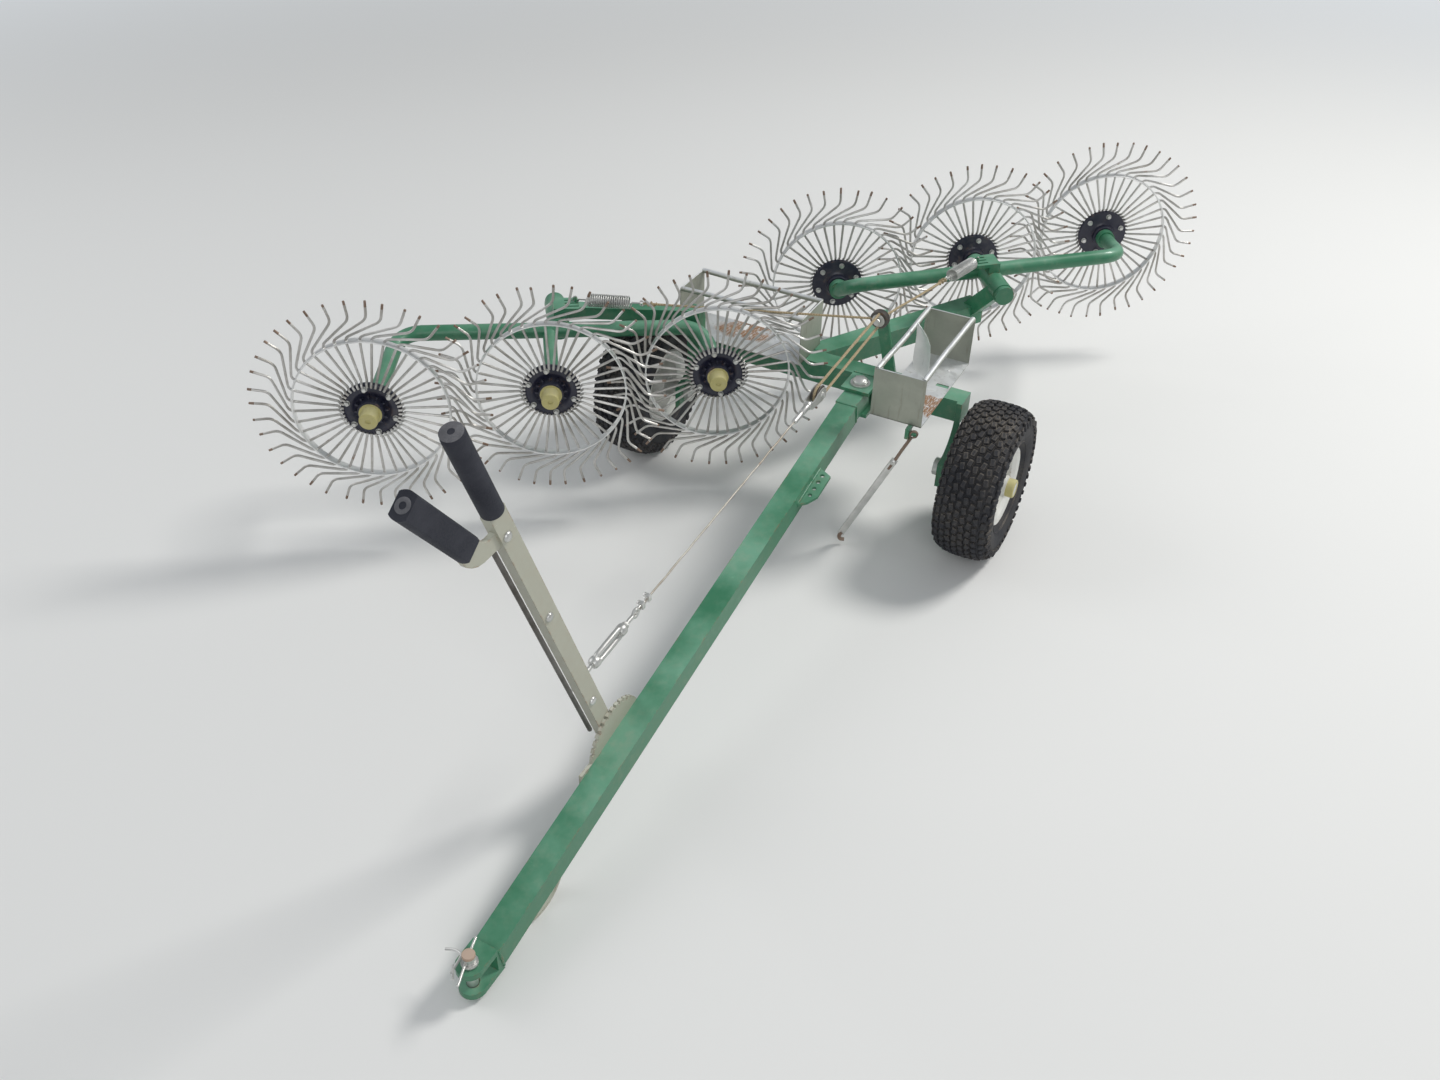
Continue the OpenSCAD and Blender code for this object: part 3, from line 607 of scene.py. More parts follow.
def tines(number, place, hand, body, reel):
    wires = Build(place)
    tips = Build(place)
    for k in range(TINES):
        along, aside, out = [random.gauss(0, spread) for spread in (1.0, 1.6, 2.2)]
        if random.random() < 0.06:
            out *= 2.6
        at = turn((k + 0.5) * TINE_STEP + random.gauss(0, 0.35), "Z")
        wire, tip = tine(hand, along, aside, out)
        wires.tube(wire, TINE_R, place=at)
        tips.tube(tip, [TINE_R + 0.05, TINE_R - 0.2], place=at)
    wires.done("reel_wires_%d" % number, WIRE, body, reel)
    tips.done("reel_tips_%d" % number, RUSTY, body, reel)


def tine_band(number, place, body, reel):
    """The flat band with a clip around each tine."""
    band = Build(place)
    band.lathe(mirrored([(BAND_IN, BAND_HALF - BAND_EDGE),
                         (BAND_IN + BAND_EDGE, BAND_HALF),
                         (BAND_OUT - BAND_EDGE, BAND_HALF),
                         (BAND_OUT, BAND_HALF - BAND_EDGE)]), 96, closed=True)
    for k in range(TINES):
        band.tube([(BAND_IN - 0.8, 0, 0), (BAND_OUT + 1, 0, 0)], 4.1,
                  place=turn((k + 0.5) * TINE_STEP, "Z"))
    band.done("reel_band_%d" % number, BAND, body, reel)


def hub_disc(number, place, body, node):
    """The dished disc with its ribbed boss."""
    hub = Build(place)
    hub.lathe([(HUB_BORE, -22), (25, -22), (27, -20), (27.5, -9), (33, -5.5),
               (55, -5), (59.4, -4.4), (60.6, -3), (60.8, 0), (60.6, 3),
               (59, 5), (56, DISC_FACE), (45, 6.2), (41, 5.4), (37, 1.5),
               (33, -0.5), (27.4, -0.8), (26.8, 4), (26.6, 16), (25.6, 18.6),
               (23, 19.2), (21, 19), (20.6, 22), (HUB_BORE, 22)], 64, closed=True)
    for k in range(12):
        hub.block((26, -1.6, -1), (34, 1.6, 9), 0.5, turn(k * 30 + 6, "Z"))
    hub.done("hub_disc_%d" % number, BLACK, body, node)


def hub_cap(number, place, body, node):
    """The cap with its flange and the recess in its end."""
    cap = Build(place)
    cap.lathe([(HUB_BORE, 19.6), (22.6, 19.6), (23.2, 20.4), (23, 22), (19.6, 22.6),
               (19, 24), (18.8, 46), (18.2, 48.8), (16.4, 50), (6, 50),
               (5, 49.4), (4.4, 47), (CORE, 47)], 40)
    cap.done("hub_cap_%d" % number, CAP, body, node)


def hub_bolts(number, place, body, node):
    bolts = Build(place)
    for k in range(6):
        around = turn(k * 60 + 12, "Z")
        bolts.bolt(around @ shift(49.5, 0, DISC_FACE), 9, 4.5, 12.5)
        bolts.bolt(around @ shift(48, 0, -4.8) @ turn(180, "X"), 9, 5, 13, 2)
    bolts.done("hub_bolts_%d" % number, ZINC, body, node)


def rake_wheel(number, gang, i):
    place = hub_place(gang, i)
    hand = 1 if gang == "front" else -1
    body = "rake_wheel_%d" % number
    reel = "rake_reel_%d" % number
    hub = "rake_hub_%d" % number
    tines(number, place, hand, body, reel)
    tine_band(number, place, body, reel)
    hub_disc(number, place, body, hub)
    hub_cap(number, place, body, hub)
    hub_bolts(number, place, body, hub)


random.seed(6)
GANG_ORDER = (("front", 1), ("front", 0), ("front", -1),
              ("rear", -1), ("rear", 0), ("rear", 1))
for number, (gang, i) in zip(WHEEL_NUMBERS, GANG_ORDER):
    rake_wheel(number, gang, i)


# Road wheels: knobby tyre, axle cap, valve and nuts

WHEEL_Y = 412
AXLE_Z = 171
KNOBS = 48
TYRE_HALF = [(76.3, 39), (83, 43), (90, 45), (96, 52), (108, 57.5), (124, 60.5),
             (140, 60), (150, 56), (156, 50), (160.5, 42), (162.5, 30),
             (163.6, 15), (164, 0)]
# Raised rings on the side wall: radius and distance from the middle
SIDE_RINGS = ((101, 54.4), (147, 58.2))
# Rows of knobs: distance from the middle, radius, slant and tilt to the side
KNOB_ROWS = ((7.0, 163.8, 12, 0), (20.5, 163.2, -14, 3), (33.5, 161.4, 12, 8),
             (45.5, 156.6, -10, 26))


def tread(tyre):
    """Rows of slanted knobs on both halves of the crown."""
    for z, r, slant, tilt in KNOB_ROWS:
        for s in BOTH_SIDES:
            for k in range(KNOBS):
                angle = 360 * (k + (0.5 if s > 0 else 0) + z / 30) / KNOBS
                spot = (turn(angle, "Z") @ shift(r - 3, 0, s * z)
                        @ turn(-s * tilt, "Y") @ turn(s * slant, "X"))
                tyre.block((0, -7.4, -5.1), (9.8, 7.4, 5.1), 1.5, spot, 1)


def shoulder_lugs(tyre):
    """Long and short lugs in turn on both shoulders."""
    for s in BOTH_SIDES:
        for k in range(KNOBS):
            angle = 360 * (k + (0.25 if s > 0 else 0.75)) / KNOBS
            spot = turn(angle, "Z") @ shift(144, 0, s * 57.4) @ turn(-s * 76, "Y")
            long = 12 if k % 2 else 6
            tyre.block((0, -5.2, -long if s > 0 else -8),
                       (5.5, 5.2, 8 if s > 0 else long), 1.4, spot, 1)


def knobby_tyre(word, place, body):
    tyre = Build(place)
    tyre.lathe(mirrored(TYRE_HALF), 96)
    for r, z in SIDE_RINGS:
        for s in BOTH_SIDES:
            tyre.lathe([(r - 2, s * (z - 1)), (r - 0.7, s * (z + 1.6)),
                        (r + 0.7, s * (z + 1.6)), (r + 2, s * (z - 1))], 96)
    tread(tyre)
    shoulder_lugs(tyre)
    tyre.done(word + "_knobby_tyre", TYRE, body, word + "_tyre", 35)


def axle_cap(word, place, body):
    cap = Build(place)
    cap.lathe([(18.8, 49), (20, 50), (20.4, 63), (19.6, 66), (17.6, 67.2),
               (15, 67), (14, 65.6), (CORE, 65)], 40)
    cap.done(word + "_axle_cap", CAP, body)


def valve(word, place, body):
    stem = Build(place)
    stem.tube([(58, 6, 14), (56, 6, 24), (55, 6, 34)], [4.5, 3.6, 3.2], 12)
    stem.tube([(55, 6, 34), (54.6, 6, 38)], 2.6, 10)
    stem.done(word + "_valve", TYRE, body)


def wheel_nuts(word, place, body):
    nuts = Build(place)
    for k in range(4):
        nuts.bolt(turn(k * 90 + 45, "Z") @ shift(44, 0, 19), 12, 7, 17, 2)
    nuts.done(word + "_wheel_nuts", ZINC, body)


for side, word in ((1, "left"), (-1, "right")):
    place = TO_PART @ shift(0, side * WHEEL_Y, AXLE_Z) @ turn(side * -90, "X")
    body = word + "_wheel"
    knobby_tyre(word, place, body)
    axle_cap(word, place, body)
    valve(word, place, body)
    wheel_nuts(word, place, body)


# Coil springs with their hooks, and the ropes that pull them

MAST_X, MAST_Y, MAST_RISE, MAST_LEAN = -63.7, 152, 140, 14
MAST_TOP = Vector((MAST_X, MAST_Y - MAST_RISE * math.tan(math.radians(MAST_LEAN)), 447))
SPRING_HOOK = Vector((-38, 53, 52))
COIL_TURNS, COIL_STEPS, COIL_R, COIL_FROM, COIL_LONG = 19, 18, 13, 27, 94
SPRING_WIRE = 1.7
TAIL_Z = 148


def coil_spring(gang, place):
    coil = Build(place)
    hook = [(0, 0, 24), (0.5, 0, 12)] + bow(6.4, 0.6, range(0, 290, 24))
    coil.tube(rounded(hook, 2, 2), SPRING_WIRE)
    helix = [(0, 0, 22), (6, 0, 24.5)]
    for k in range(COIL_TURNS * COIL_STEPS + 1):
        a = 2 * math.pi * k / COIL_STEPS
        z = COIL_FROM + COIL_LONG * k / (COIL_TURNS * COIL_STEPS)
        helix.append((COIL_R * math.cos(a), COIL_R * math.sin(a), z))
    helix += [(6, 0, 123.5), (0, 0, 126)]
    coil.tube(helix, SPRING_WIRE + 0.05)
    tail = [(0, 0, 126), (0, 0, 142)] + bow(5.4, TAIL_Z, range(0, 320, 26), -1)
    coil.tube(rounded(tail, 2, 2), SPRING_WIRE)
    coil.done(gang + "_coil_spring", SPRING, gang + "_spring",
              gang + "_spring")


def spring_rope(gang, place, reach):
    """The rope from the spring's tail to the sheave, whipped at the tail."""
    line = Build(place)
    start, end = 150, reach - 6
    line.tube([(0, 0, start), (0.6, 0.4, start + (end - start) * 0.4),
               (0, -0.4, start + (end - start) * 0.7), (0, 0, end)], 2.6)
    whipping = []
    for j in range(30):
        a = j * 0.5
        whipping.append((4.4 * math.cos(a), 4.4 * math.sin(a), 152 + 1.9 * a))
    line.tube(whipping, 1.7, 6)
    line.done(gang + "_spring_rope", ROPE, gang + "_spring")


for gang in ("front", "rear"):
    start = (boom_place(gang) @ (SPRING_HOOK * MM)) / MM
    place = TO_PART @ facing(start, MAST_TOP)
    coil_spring(gang, place)
    spring_rope(gang, place, (MAST_TOP - start).length)


# Lift wire's way from the lever to the pulley block, and the block's sheave

LEVER_AT = Vector((972, 70.2, 114.8))
LEVER_LEAN = 21
WIRE_PIN_UP, WIRE_Y = 178, 52.2
WIRE_FROM = Vector((LEVER_AT.x + WIRE_PIN_UP * math.sin(math.radians(LEVER_LEAN)), WIRE_Y,
                    LEVER_AT.z + WIRE_PIN_UP * math.cos(math.radians(LEVER_LEAN))))
WIRE_TO = WIRE_FROM.lerp(MAST_TOP, 0.69)
WIRE_LEN = (WIRE_TO - WIRE_FROM).length
WIRE_PLACE = TO_PART @ facing(WIRE_FROM, WIRE_TO)
SHEAVE_Z = 66
BLOCK_PLACE = WIRE_PLACE @ shift(0, 0, WIRE_LEN)
SHEAVE_PLACE = BLOCK_PLACE @ shift(0, 0, SHEAVE_Z)
CHEEK_IN, CHEEK_OUT = 7.8, 10.2


def block_sheave():
    sheave = Build(SHEAVE_PLACE @ turn(90, "X"))
    sheave.lathe(mirrored([(4, 6.6), (18, 6.6), (19, 5.6), (15, 1.6), (14.6, 0)]), 40,
                 closed=True)
    sheave.done("block_sheave", DARK_STEEL, "lift_wire", "pulley_block")


def block_cheeks():
    """Two side plates with their bolts, and the swivel they hang on."""
    cheeks = Build(BLOCK_PLACE)
    outline = []
    for k in range(25):
        a = math.pi * k / 24
        outline.append((14.5 * math.cos(a), SHEAVE_Z + 17 * math.sin(a)))
    outline += [(-12.5, 50), (-8.5, 36), (-7.5, 24), (7.5, 24), (8.5, 36), (12.5, 50)]
    n = len(outline)
    for s in BOTH_SIDES:
        verts = [(x, s * y, z) for y in (CHEEK_IN, CHEEK_OUT) for x, z in outline]
        faces = [list(range(n)), list(range(n, 2 * n))[::-1]]
        for k in range(n):
            j = (k + 1) % n
            faces.append([k, j, n + j, n + k])
        cheeks.add(verts, faces)
        spot = shift(0, s * CHEEK_OUT, SHEAVE_Z) @ turn(s * -90, "X")
        cheeks.bolt(spot, 9, 4, 13)
    cheeks.lathe([(CORE, -2), (5, -2), (6.5, 0), (6.8, 20), (8.6, 21), (8.6, 26),
                  (CORE, 26)], 28)
    cheeks.block((-7, -10, 23), (7, 10, 28), 1.0)
    cheeks.done("block_cheeks", ZINC, "lift_wire", "pulley_block")


block_sheave()
block_cheeks()


# Ropes from the pulley block to the mast's sheave, and that sheave

ROPE_R = 2.9
BLOCK_ROPE_AT, MAST_ROPE_AT = 17.6, 15
MAST_SHARE, BLOCK_SHARE = 0.62, 0.50


def part_way(a, b, share, steps):
    return [tuple(a.lerp(b, share * k / steps)) for k in range(steps + 1)]


def block_ropes():
    """Each rope as two lapped halves, so that it closes its gap at any pose."""
    block_at = TO_PART.inverted() @ SHEAVE_PLACE
    middle = block_at.translation / MM
    up = -(block_at.to_3x3() @ Vector((1, 0, 0)))
    for s, word in ((-1, "low"), (1, "high")):
        near = middle + up * s * BLOCK_ROPE_AT
        far = MAST_TOP + up * s * MAST_ROPE_AT
        mast_half = Build(TO_PART)
        mast_half.tube(part_way(far, near, MAST_SHARE, 14), ROPE_R + 0.1)
        piece = mast_half.done("mast_rope_" + word, ROPE, None)
        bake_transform(piece)
        block_half = Build(TO_PART)
        block_half.tube(part_way(near, far, BLOCK_SHARE, 10), ROPE_R)
        block_half.done("block_rope_" + word, ROPE, "lift_wire")
    bend = Build(SHEAVE_PLACE)
    bend.tube(bow(BLOCK_ROPE_AT, 0, range(-90, -271, -12)), ROPE_R)
    bend.done("block_rope_bend", ROPE, "lift_wire")


def mast_sheave():
    place = TO_PART @ Matrix.Translation(MAST_TOP * MM) @ turn(90, "Y")
    sheave = Build(place)
    sheave.lathe(mirrored([(4.2, 7), (19, 7), (20, 6), (15.5, 2), (15, 0)]), 40,
                 closed=True)
    sheave.done("mast_sheave", DARK_STEEL, "frame", "mast_pulley")
    strap = Build(place)
    strap.lathe([(CORE, 8.2), (13, 8.2), (14, 9), (14, 10), (CORE, 10)], 32)
    strap.bolt(shift(0, 0, 10), 11, 5, 0.1, 2)
    strap.done("mast_sheave_strap", ZINC, "frame", "mast_pulley")


block_ropes()
mast_sheave()


# Turnbuckle, the end fittings of the wire, and the wire

EYE_ANGLES = range(20, 345, 20)
CABLE_FROM = 172


def turnbuckle():
    """An eye on the lever's pin, an open body between collars, and a far eye."""
    buckle = Build(WIRE_PLACE)
    buckle.tube(bow(8.2, 0, EYE_ANGLES), 3.0)
    buckle.tube([(0, 0, 8), (0, 0, 64)], 4.0, 12)
    for s in BOTH_SIDES:
        buckle.tube(rounded([(s * 3, 0, 56), (s * 9, 0, 62), (s * 9.6, 0, 94),
                             (s * 9, 0, 126), (s * 3, 0, 132)], 9, 5), 5.2, 12)
    for z in (55, 133):
        buckle.lathe(mirrored([(CORE, 8), (8, 8), (10, 5), (10.4, 0)]), 28,
                     shift(0, 0, z))
    buckle.tube([(0, 0, 122), (0, 0, 168)], 4.0, 12)
    buckle.lathe([(CORE, 141.5), (6.5, 141.5), (7, 142.5), (7, 147), (CORE, 147.5)], 6)
    buckle.tube(bow(8, 176, range(0, 341, 20), -1), 3.0)
    buckle.done("turnbuckle_body", ZINC, "lift_wire", "turnbuckle")


def wire_fittings():
    """Two clips on the wire's loop, and the sleeve at its far end."""
    clips = Build(WIRE_PLACE)
    for z in (196, 216):
        clips.block((-7, -4.5, z - 4), (7, 4.5, z + 4), 1.2)
        for s in BOTH_SIDES:
            clips.hexagon(7, 4, shift(s * 4.5, 4.5, z) @ turn(-90, "X"))
    loop = [(2, 0, 222), (4.5, 0, 200), (4.2, 0, 186), (0, 0, CABLE_FROM),
            (-4.2, 0, 186), (0, 0, 204)]
    clips.tube(rounded(loop, 6, 4), 1.8)
    clips.lathe([(CORE, -34), (5, -34), (5.6, -32), (5.6, -8), (4, 0), (CORE, 0)], 20,
                shift(0, 0, WIRE_LEN))
    clips.done("wire_fittings", ZINC, "lift_wire")


def lift_cable():
    """The wire, slightly wavy along its length."""
    cable = Build(WIRE_PLACE)
    steps = 24
    way = []
    for k in range(steps + 1):
        z = CABLE_FROM + (WIRE_LEN - CABLE_FROM - 10) * k / steps
        way.append((0.4 * math.sin(k * 1.9), 0.4 * math.cos(k * 2.3), z))
    cable.tube(way, 1.9)
    cable.done("lift_cable", CABLE, "lift_wire", "lift_wire")


turnbuckle()
wire_fittings()
lift_cable()


# Lever: bolts of the latch, pivot bolt, and the dusty ends of both grips

LEVER_PLACE = TO_PART @ shift(*LEVER_AT) @ turn(LEVER_LEAN, "Y")
LEVER_HALF = 9
LATCH_PLACE = shift(61, 0, 684) @ turn(16, "Y")
# Grips: place, height of the top and radius
GRIP_TOPS = ((Matrix.Identity(4), 855.3, 17), (LATCH_PLACE, 171.3, 13))


def lever_bolts():
    bolts = Build(LEVER_PLACE)
    for z in (150, 425, 639):
        bolts.lathe([(CORE, 0), (8, 0), (8, 1.5), (6.5, 3.6), (4, 4.8), (CORE, 5.2)],
                    24, shift(4, LEVER_HALF, z) @ turn(-90, "X"))
        bolts.bolt(shift(4, -LEVER_HALF, z) @ turn(90, "X"), 11, 5, 15, 2)
    bolts.bolt(shift(0, 15.6, 0) @ turn(-90, "X"), 16, 8, 22, 4)
    bolts.done("lever_bolts", ZINC, "lever")


def grip_ends():
    ends = Build(LEVER_PLACE)
    for place, top, r in GRIP_TOPS:
        ends.lathe([(5, -1), (5, 0.3), (r - 3, 0.5), (r - 1, -0.6), (r - 1, -1)], 32,
                   place @ shift(0, 0, top), closed=True)
    ends.done("grip_ends", GRIP_END, "lever")


lever_bolts()
grip_ends()


# Hitch pin with its head and wire clip

PIN_R, PIN_LOW, PIN_HIGH = 9.2, 2, 88
HITCH_FOOT = shift(HITCH.x, HITCH.y, 0)


def hitch_pin():
    pin = Build(TO_PART @ HITCH_FOOT)
    pin.tube([(0, 0, PIN_LOW), (0, 0, PIN_HIGH)], PIN_R, 28)
    pin.lathe([(PIN_R, 71), (13, 71), (13.6, 72), (13.6, 75), (13, 76), (PIN_R, 76)],
              32, closed=True)
    pin.done("hitch_pin", ZINC, "drawbar")
    head = Build(TO_PART @ HITCH_FOOT @ shift(0, 0, PIN_HIGH))
    head.lathe([(CORE, 0), (9.6, 0), (10.4, 1), (10.4, 5), (9.6, 6.4), (5, 7),
                (CORE, 7.1)], 32)
    head.done("hitch_pin_head", PIN_HEAD, "drawbar")


def pin_clip():
    clip = Build(TO_PART @ HITCH_FOOT @ shift(0, 0, 80))
    clip.tube(rounded([(-34, -12, 4), (0, -3, 2), (46, 14, 4)], 10, 4), 2.2, 10)
    clip.tube(rounded([(30, -12, -4), (12, -12, 0), (-2, -14, 1), (-6, -30, -3),
                       (-2, -46, -8)], 9, 6), 2.2, 10)
    clip.tube([(18, -16, -2), (40, 0, 2)], 2.0, 10)
    clip.done("hitch_pin_clip", ZINC, "drawbar")


hitch_pin()
pin_clip()


# Weld seams, and the domed head of the drawbar's bolt

BAR_HALF, BAR_NOSE = 22.5, 1346.6
BAR_DROP, BAR_RUN = 240, 1325
BAR_SLOPE = math.degrees(math.atan(BAR_DROP / BAR_RUN))
BAR_PLACE = TO_PART @ shift(60, HITCH.y, 280) @ turn(BAR_SLOPE, "Y")
SKID_ENDS = (1156, 1273)
PLATE_FROM, PLATE_TO = 181, 294
BEAM_TOP, BEAM_FRONT = 307, -55
LUG_TOP = 310.8
RIPPLE = 2.2


def weld(build, points, radius):
    """A weld bead through the points, with a ripple every RIPPLE millimetres."""
    points = [Vector(p) for p in points]
    path, radii = [], []
    for a, b in zip(points, points[1:]):
        count = max(2, int((b - a).length / RIPPLE))
        for k in range(count):
            path.append(tuple(a.lerp(b, k / count)))
            height = (1.0 if k % 2 else 0.80) * random.uniform(0.88, 1.12)
            radii.append(radius * height)
    path.append(tuple(points[-1]))
    radii.append(radius * 0.6)
    build.tube(path, radii)


def drawbar_welds():
    welds = Build(BAR_PLACE)
    h = BAR_HALF
    weld(welds, [(BAR_NOSE, y, z) for y, z in ((-h, -h), (-h, h), (h, h), (h, -h),
                                               (-h, -h))], 2.6)
    weld(welds, [(1, -h, -h + 2), (1, -h, h), (1, h, h), (1, h, -h + 2)], 2.6)
    for x in SKID_ENDS:
        weld(welds, [(x, -12, -h), (x, 12, -h)], 2.4)
    for z in (-4, 4):
        weld(welds, [(PLATE_FROM, h, z), (PLATE_TO, h, z)], 2.6)
    welds.done("drawbar_welds", GREEN, "drawbar")


def frame_welds():
    welds = Build(TO_PART)
    front = BEAM_FRONT
    for y in (313, -325):
        weld(welds, [(front + 1, y, 260), (front + 1, y, 306)], 2.6)
    weld(welds, [(front, -308, 264), (front, -308, 300), (front, -278, 300),
                 (front, -278, 264)], 2.8)
    weld(welds, [(-105, -92, BEAM_TOP), (-105, -28, BEAM_TOP)], 3)
    weld(welds, [(front, 73, LUG_TOP), (front, 137, LUG_TOP)], 2.6)
    for x in (-81, -71):
        weld(welds, [(x, MAST_Y - 13, BEAM_TOP + 1), (x, MAST_Y + 13, BEAM_TOP + 1)],
             2.4)
    welds.done("frame_welds", GREEN, "frame")


def drawbar_bolt_head():
    bolt = Build(TO_PART @ shift(-15, 105, LUG_TOP))
    bolt.lathe([(CORE, 0), (21, 0), (21.5, 1), (21.5, 3), (CORE, 3)], 40)
    bolt.lathe([(CORE, 0), (15, 0), (16.5, 2), (16.5, 6), (13, 9.5), (7, 11.4),
                (CORE, 12)], 40, shift(0, 0, 2.8))
    bolt.done("drawbar_bolt_head", ZINC, "frame")


drawbar_welds()
frame_welds()
drawbar_bolt_head()


# Lock rod: thin rod above, flat strap below, hooked foot

LOCK_EYE = Vector((90, 270, 293))
LOCK_FOOT = Vector((151, 146, 14))
LOCK_PLACE = TO_PART @ facing(LOCK_EYE, LOCK_FOOT)
LOCK_LEN = (LOCK_FOOT - LOCK_EYE).length
RIVET_Z = 78


def lock_rod():
    rod = Build(LOCK_PLACE)
    rod.tube(rounded([(0, 0, 8), (0, 0, 50), (0.8, 0.5, 74), (0, 0, 98)], 8, 3),
             3.6, 10)
    rod.tube(bow(7.4, 0, EYE_ANGLES), 2.7)
    rod.tube(rounded([(0, 0, LOCK_LEN - 22), (0, 0, LOCK_LEN - 10),
                      (7, 0, LOCK_LEN - 4), (15, 0, LOCK_LEN - 8)], 6, 4), 4.2, 10)
    rod.done("lock_rod_wire", RUSTY, "lock_rod", "lock_rod")
    strap = Build(LOCK_PLACE)
    strap.block((-7.5, -1.8, RIVET_Z - 8), (7.5, 1.8, LOCK_LEN - 18), 0.7)
    strap.tube([(0, -8, RIVET_Z), (0, 8, RIVET_Z)], 3.6, 12)
    strap.lathe([(CORE, 0), (6.5, 0), (6.5, 2.4), (4.5, 4), (CORE, 4.4)], 20,
                shift(0, 2, RIVET_Z) @ turn(-90, "X"))
    strap.done("lock_rod_strap", ZINC, "lock_rod", "lock_rod")


lock_rod()


# Trays: thin sheet with rolled rails, open sides, a slot and a torn curl

TRAY_L, TRAY_W, TRAY_H, SHEET_T = 300, 113, 115, 1.8
RAIL_OUT, RAIL_IN = (5.9, 5.6), (4.5, 4.2)
LEFT_TRAY = TO_PART @ shift(-68, 224.5, BEAM_TOP)
RIGHT_TRAY = TO_PART @ shift(-80, -194, BEAM_TOP) @ turn(90, "Z")


def tray_floor(tray):
    """The floor as one plate with its slot cut through."""
    x, y = TRAY_L / 2, TRAY_W / 2
    outer = [(-x, -y), (x, -y), (x, y), (-x, y)]
    inner = [(-34, y - 32), (-23, y - 32), (-23, y - 4), (-34, y - 4)]
    verts = [(a, b, z) for z in (0, SHEET_T) for a, b in outer + inner]
    faces = []
    for k in range(4):
        j = (k + 1) % 4
        faces.append([k, k + 4, j + 4, j])
        faces.append([8 + k, 8 + j, 12 + j, 12 + k])
        faces.append([k, j, 8 + j, 8 + k])
        faces.append([4 + k, 12 + k, 12 + j, 4 + j])
    tray.add(verts, faces)


def rolled_rail(tray, s):
    """A sheet edge rolled over into an open tube along one long side."""
    arc = [math.radians(a) for a in range(-50, 231, 20)]
    roll = [(RAIL_OUT[0] * math.cos(a), RAIL_OUT[1] * math.sin(a)) for a in arc]
    roll += [(RAIL_IN[0] * math.cos(a), RAIL_IN[1] * math.sin(a)) for a in reversed(arc)]
    steps, m = 24, len(roll)
    verts, faces = [], []
    for k in range(steps + 1):
        u = (k / steps - 0.5) * (TRAY_L - 1)
        inward = 6 + 1.6 * math.sin(math.pi * k / steps)
        dip = 0.7 * math.sin(11 * k / steps + s)
        for a, b in roll:
            verts.append((u, s * (TRAY_W / 2 - inward + a), TRAY_H - 6 + dip + b))
    for k in range(steps):
        for j in range(m):
            a, b = k * m + j, k * m + (j + 1) % m
            faces.append([a, b, b + m, a + m])
    faces.append(list(range(m)))
    faces.append([steps * m + j for j in range(m)][::-1])
    tray.add(verts, faces)


def sheet_tray(name, node, place):
    tray = Build(place)
    tray_floor(tray)
    x, y, top = TRAY_L / 2, TRAY_W / 2, TRAY_H - 5
    for s in BOTH_SIDES:
        low, high = sorted((s * x, s * (x - SHEET_T)))
        tray.block((low, -y, 0.2), (high, y, top), 0.4)
        tray.tube([(s * (x - 1), -y + 4, top), (s * (x - 1), y - 4, top)], 1.9, 10)
        rolled_rail(tray, s)
        for k in BOTH_SIDES:
            tray.lathe([(CORE, 1.4), (3.2, 1.0), (4, 0), (CORE, 0)], 16,
                       shift(k * 96, s * 28, SHEET_T))
    tray.done(name, SHEET, "frame", node, 50)


def torn_curl(name, place):
    """A leaf-shaped strip torn free of the floor and bent upright."""
    left = [(-0.5, 1), (-13, 7), (-24.5, 14), (-33, 23), (-37, 36), (-37.8, 62),
            (-36.5, 84), (-35.8, 101), (-36, 118), (-35.9, 133)]
    right = [(2.5, 1), (2.8, 7), (2.2, 14), (1.2, 23), (0.6, 36), (-0.6, 62),
             (-3.5, 84), (-10, 101), (-21, 118), (-34.6, 133)]
    root_x, top, thick, cols = -36, 133, 1.1, 8
    verts, faces = [], []
    for side in (0, thick):
        for (y0, z), (y1, _) in zip(left, right):
            for j in range(cols + 1):
                u = j / cols
                cup = 5 * (2 * u - 1) ** 2 * min(1, z / 40)
                lean = 8 * math.sin(math.pi * z / top)
                verts.append((root_x - lean + cup + side, y0 + (y1 - y0) * u, z))
    step = cols + 1
    rows = len(left)
    off = rows * step
    for i in range(rows - 1):
        for j in range(cols):
            a = i * step + j
            b = off + a
            faces.append([a, a + 1, a + 1 + step, a + step])
            faces.append([b, b + step, b + 1 + step, b + 1])
    edge = list(range(cols))
    edge += [i * step + cols for i in range(rows - 1)]
    edge += [(rows - 1) * step + j for j in range(cols, 0, -1)]
    edge += [i * step for i in range(rows - 1, 0, -1)]
    for a, b in zip(edge, edge[1:] + edge[:1]):
        faces.append([a, b, off + b, off + a])
    curl = Build(place)
    curl.add(verts, faces)
    curl.done(name, SUNLIT_CURL, "frame", "left_tray", 60)


sheet_tray("left_sheet_tray", "left_tray", LEFT_TRAY)
torn_curl("left_tray_curl", LEFT_TRAY)
sheet_tray("right_sheet_tray", "right_tray", RIGHT_TRAY)


# Floor, lamps and sky

SKY = (0.9, 0.95, 1)
SKY_LIGHT, SKY_SEEN = 0.36, 1.0
FADE_FROM, FADE_TO = 3.2, 8.5


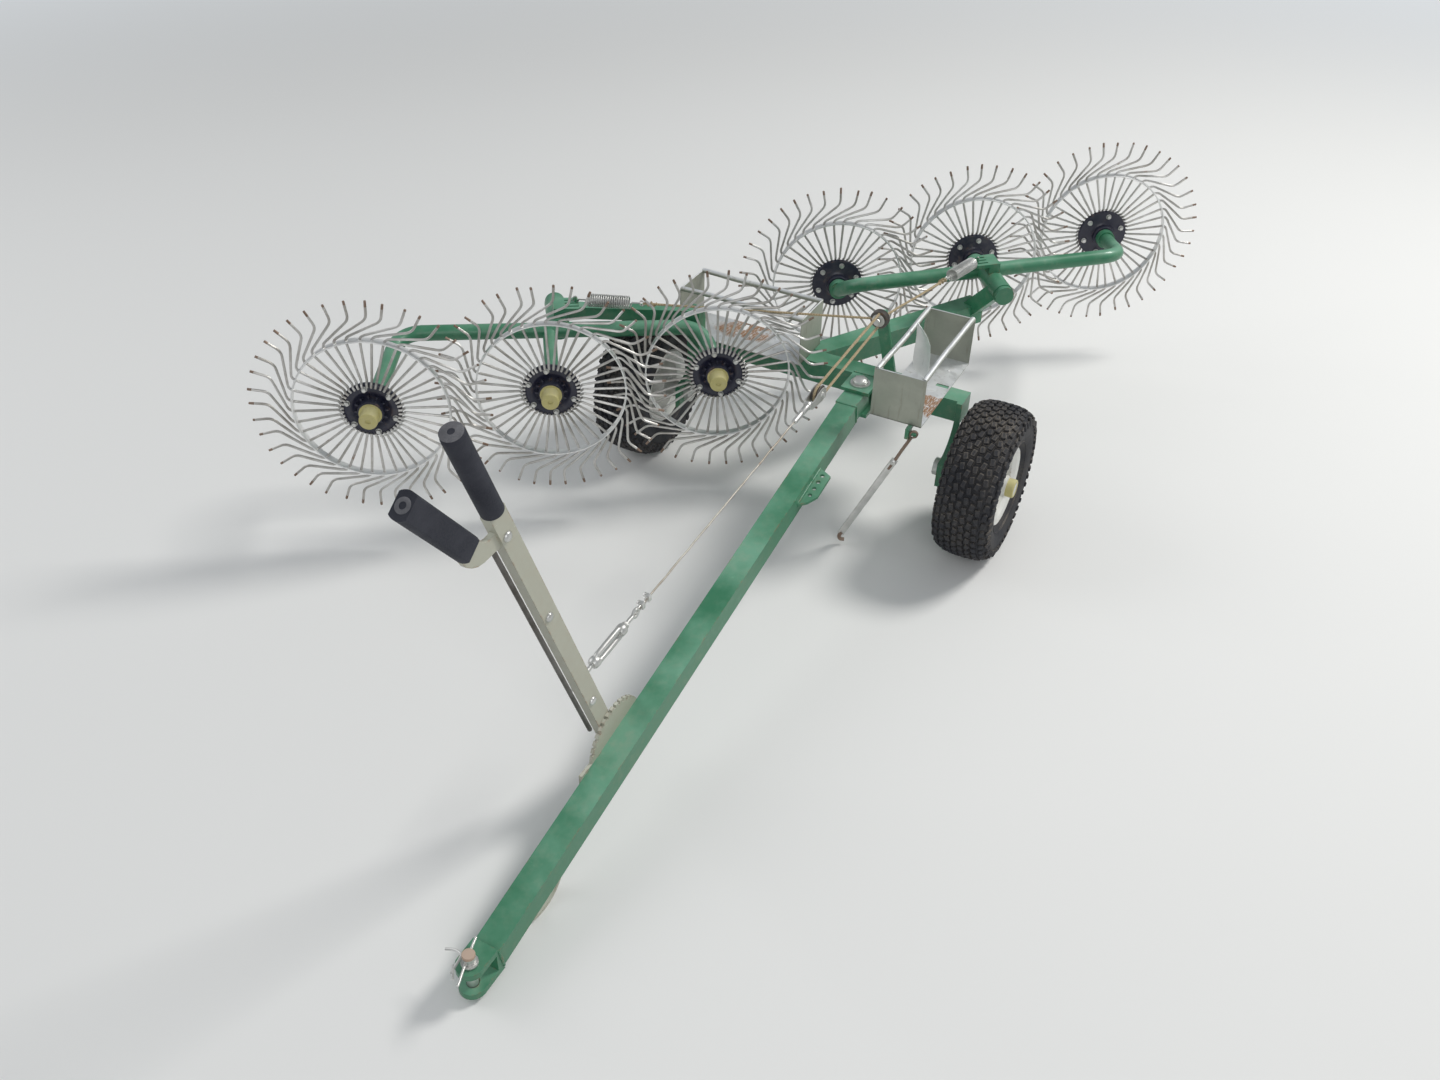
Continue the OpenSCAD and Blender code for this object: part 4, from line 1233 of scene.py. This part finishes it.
def floor_material():
    """A plain matt floor that fades into the sky far from the object."""
    m = Mat("pale_floor")
    speck = m.noise(900.0, 2.0)
    m.colour(m.mix(m.ramp(speck, 0.3, 0.7, 0.0, 0.15), (0.78, 0.78, 0.77),
                   (0.749, 0.749, 0.739)))
    m.rough(0.8)
    away = m.new("ShaderNodeVectorMath", operation="LENGTH")
    m.link(m.at, away.inputs[0])
    fade = m.new("ShaderNodeMapRange", interpolation_type="SMOOTHSTEP")
    m.link(away.outputs["Value"], fade.inputs["Value"])
    fade.inputs["From Min"].default_value = FADE_FROM
    fade.inputs["From Max"].default_value = FADE_TO
    seen = m.new("ShaderNodeLightPath").outputs["Is Camera Ray"]
    glow = m.new("ShaderNodeEmission")
    m.put(glow.inputs["Color"], SKY)
    both = m.new("ShaderNodeMixShader")
    m.put(both.inputs[0], m.mul(fade.outputs["Result"], seen))
    m.link(m.shader.outputs["BSDF"], both.inputs[1])
    m.link(glow.outputs["Emission"], both.inputs[2])
    m.link(both.outputs["Shader"], m.tree.nodes["Material Output"].inputs["Surface"])
    return m.mat


def lay_floor():
    bpy.ops.mesh.primitive_plane_add(size=40.0, location=(-1.0, 0, FLOOR))
    floor = bpy.context.object
    floor.name = "floor"
    floor.data.materials.append(floor_material())


def lamp(name, at, target, size, power, colour=(1, 1, 1)):
    data = bpy.data.lights.new(name, "AREA")
    data.shape = "DISK"
    data.size = size
    data.energy = power
    data.color = colour
    obj = bpy.data.objects.new(name, data)
    bpy.context.scene.collection.objects.link(obj)
    obj.location = at
    aim = Vector(target) - Vector(at)
    obj.rotation_euler = aim.to_track_quat("-Z", "Y").to_euler()


def pale_sky():
    """A white sky to look at, which gives less light than it shows."""
    world = bpy.data.worlds.new("world")
    bpy.context.scene.world = world
    world.use_nodes = True
    tree = world.node_tree
    sky = tree.nodes["Background"]
    sky.inputs[0].default_value = (*SKY, 1)
    rays = tree.nodes.new("ShaderNodeLightPath")
    level = tree.nodes.new("ShaderNodeMapRange")
    level.inputs["To Min"].default_value = SKY_LIGHT
    level.inputs["To Max"].default_value = SKY_SEEN
    tree.links.new(rays.outputs["Is Camera Ray"], level.inputs["Value"])
    tree.links.new(level.outputs["Result"], sky.inputs[1])


lay_floor()
lamp("key", (-4.2, 2.6, 4.6), (-1.2, 0, 0.2), 1.6, 220, (1, 0.985, 0.95))
lamp("fill", (3.4, 3.0, 3.4), (-1.0, 0, 0.2), 3.6, 85)
lamp("side", (0.4, -4.4, 3.0), (-1.2, 0, 0.2), 3.4, 55)
pale_sky()
bpy.context.scene.view_settings.view_transform = "Standard"
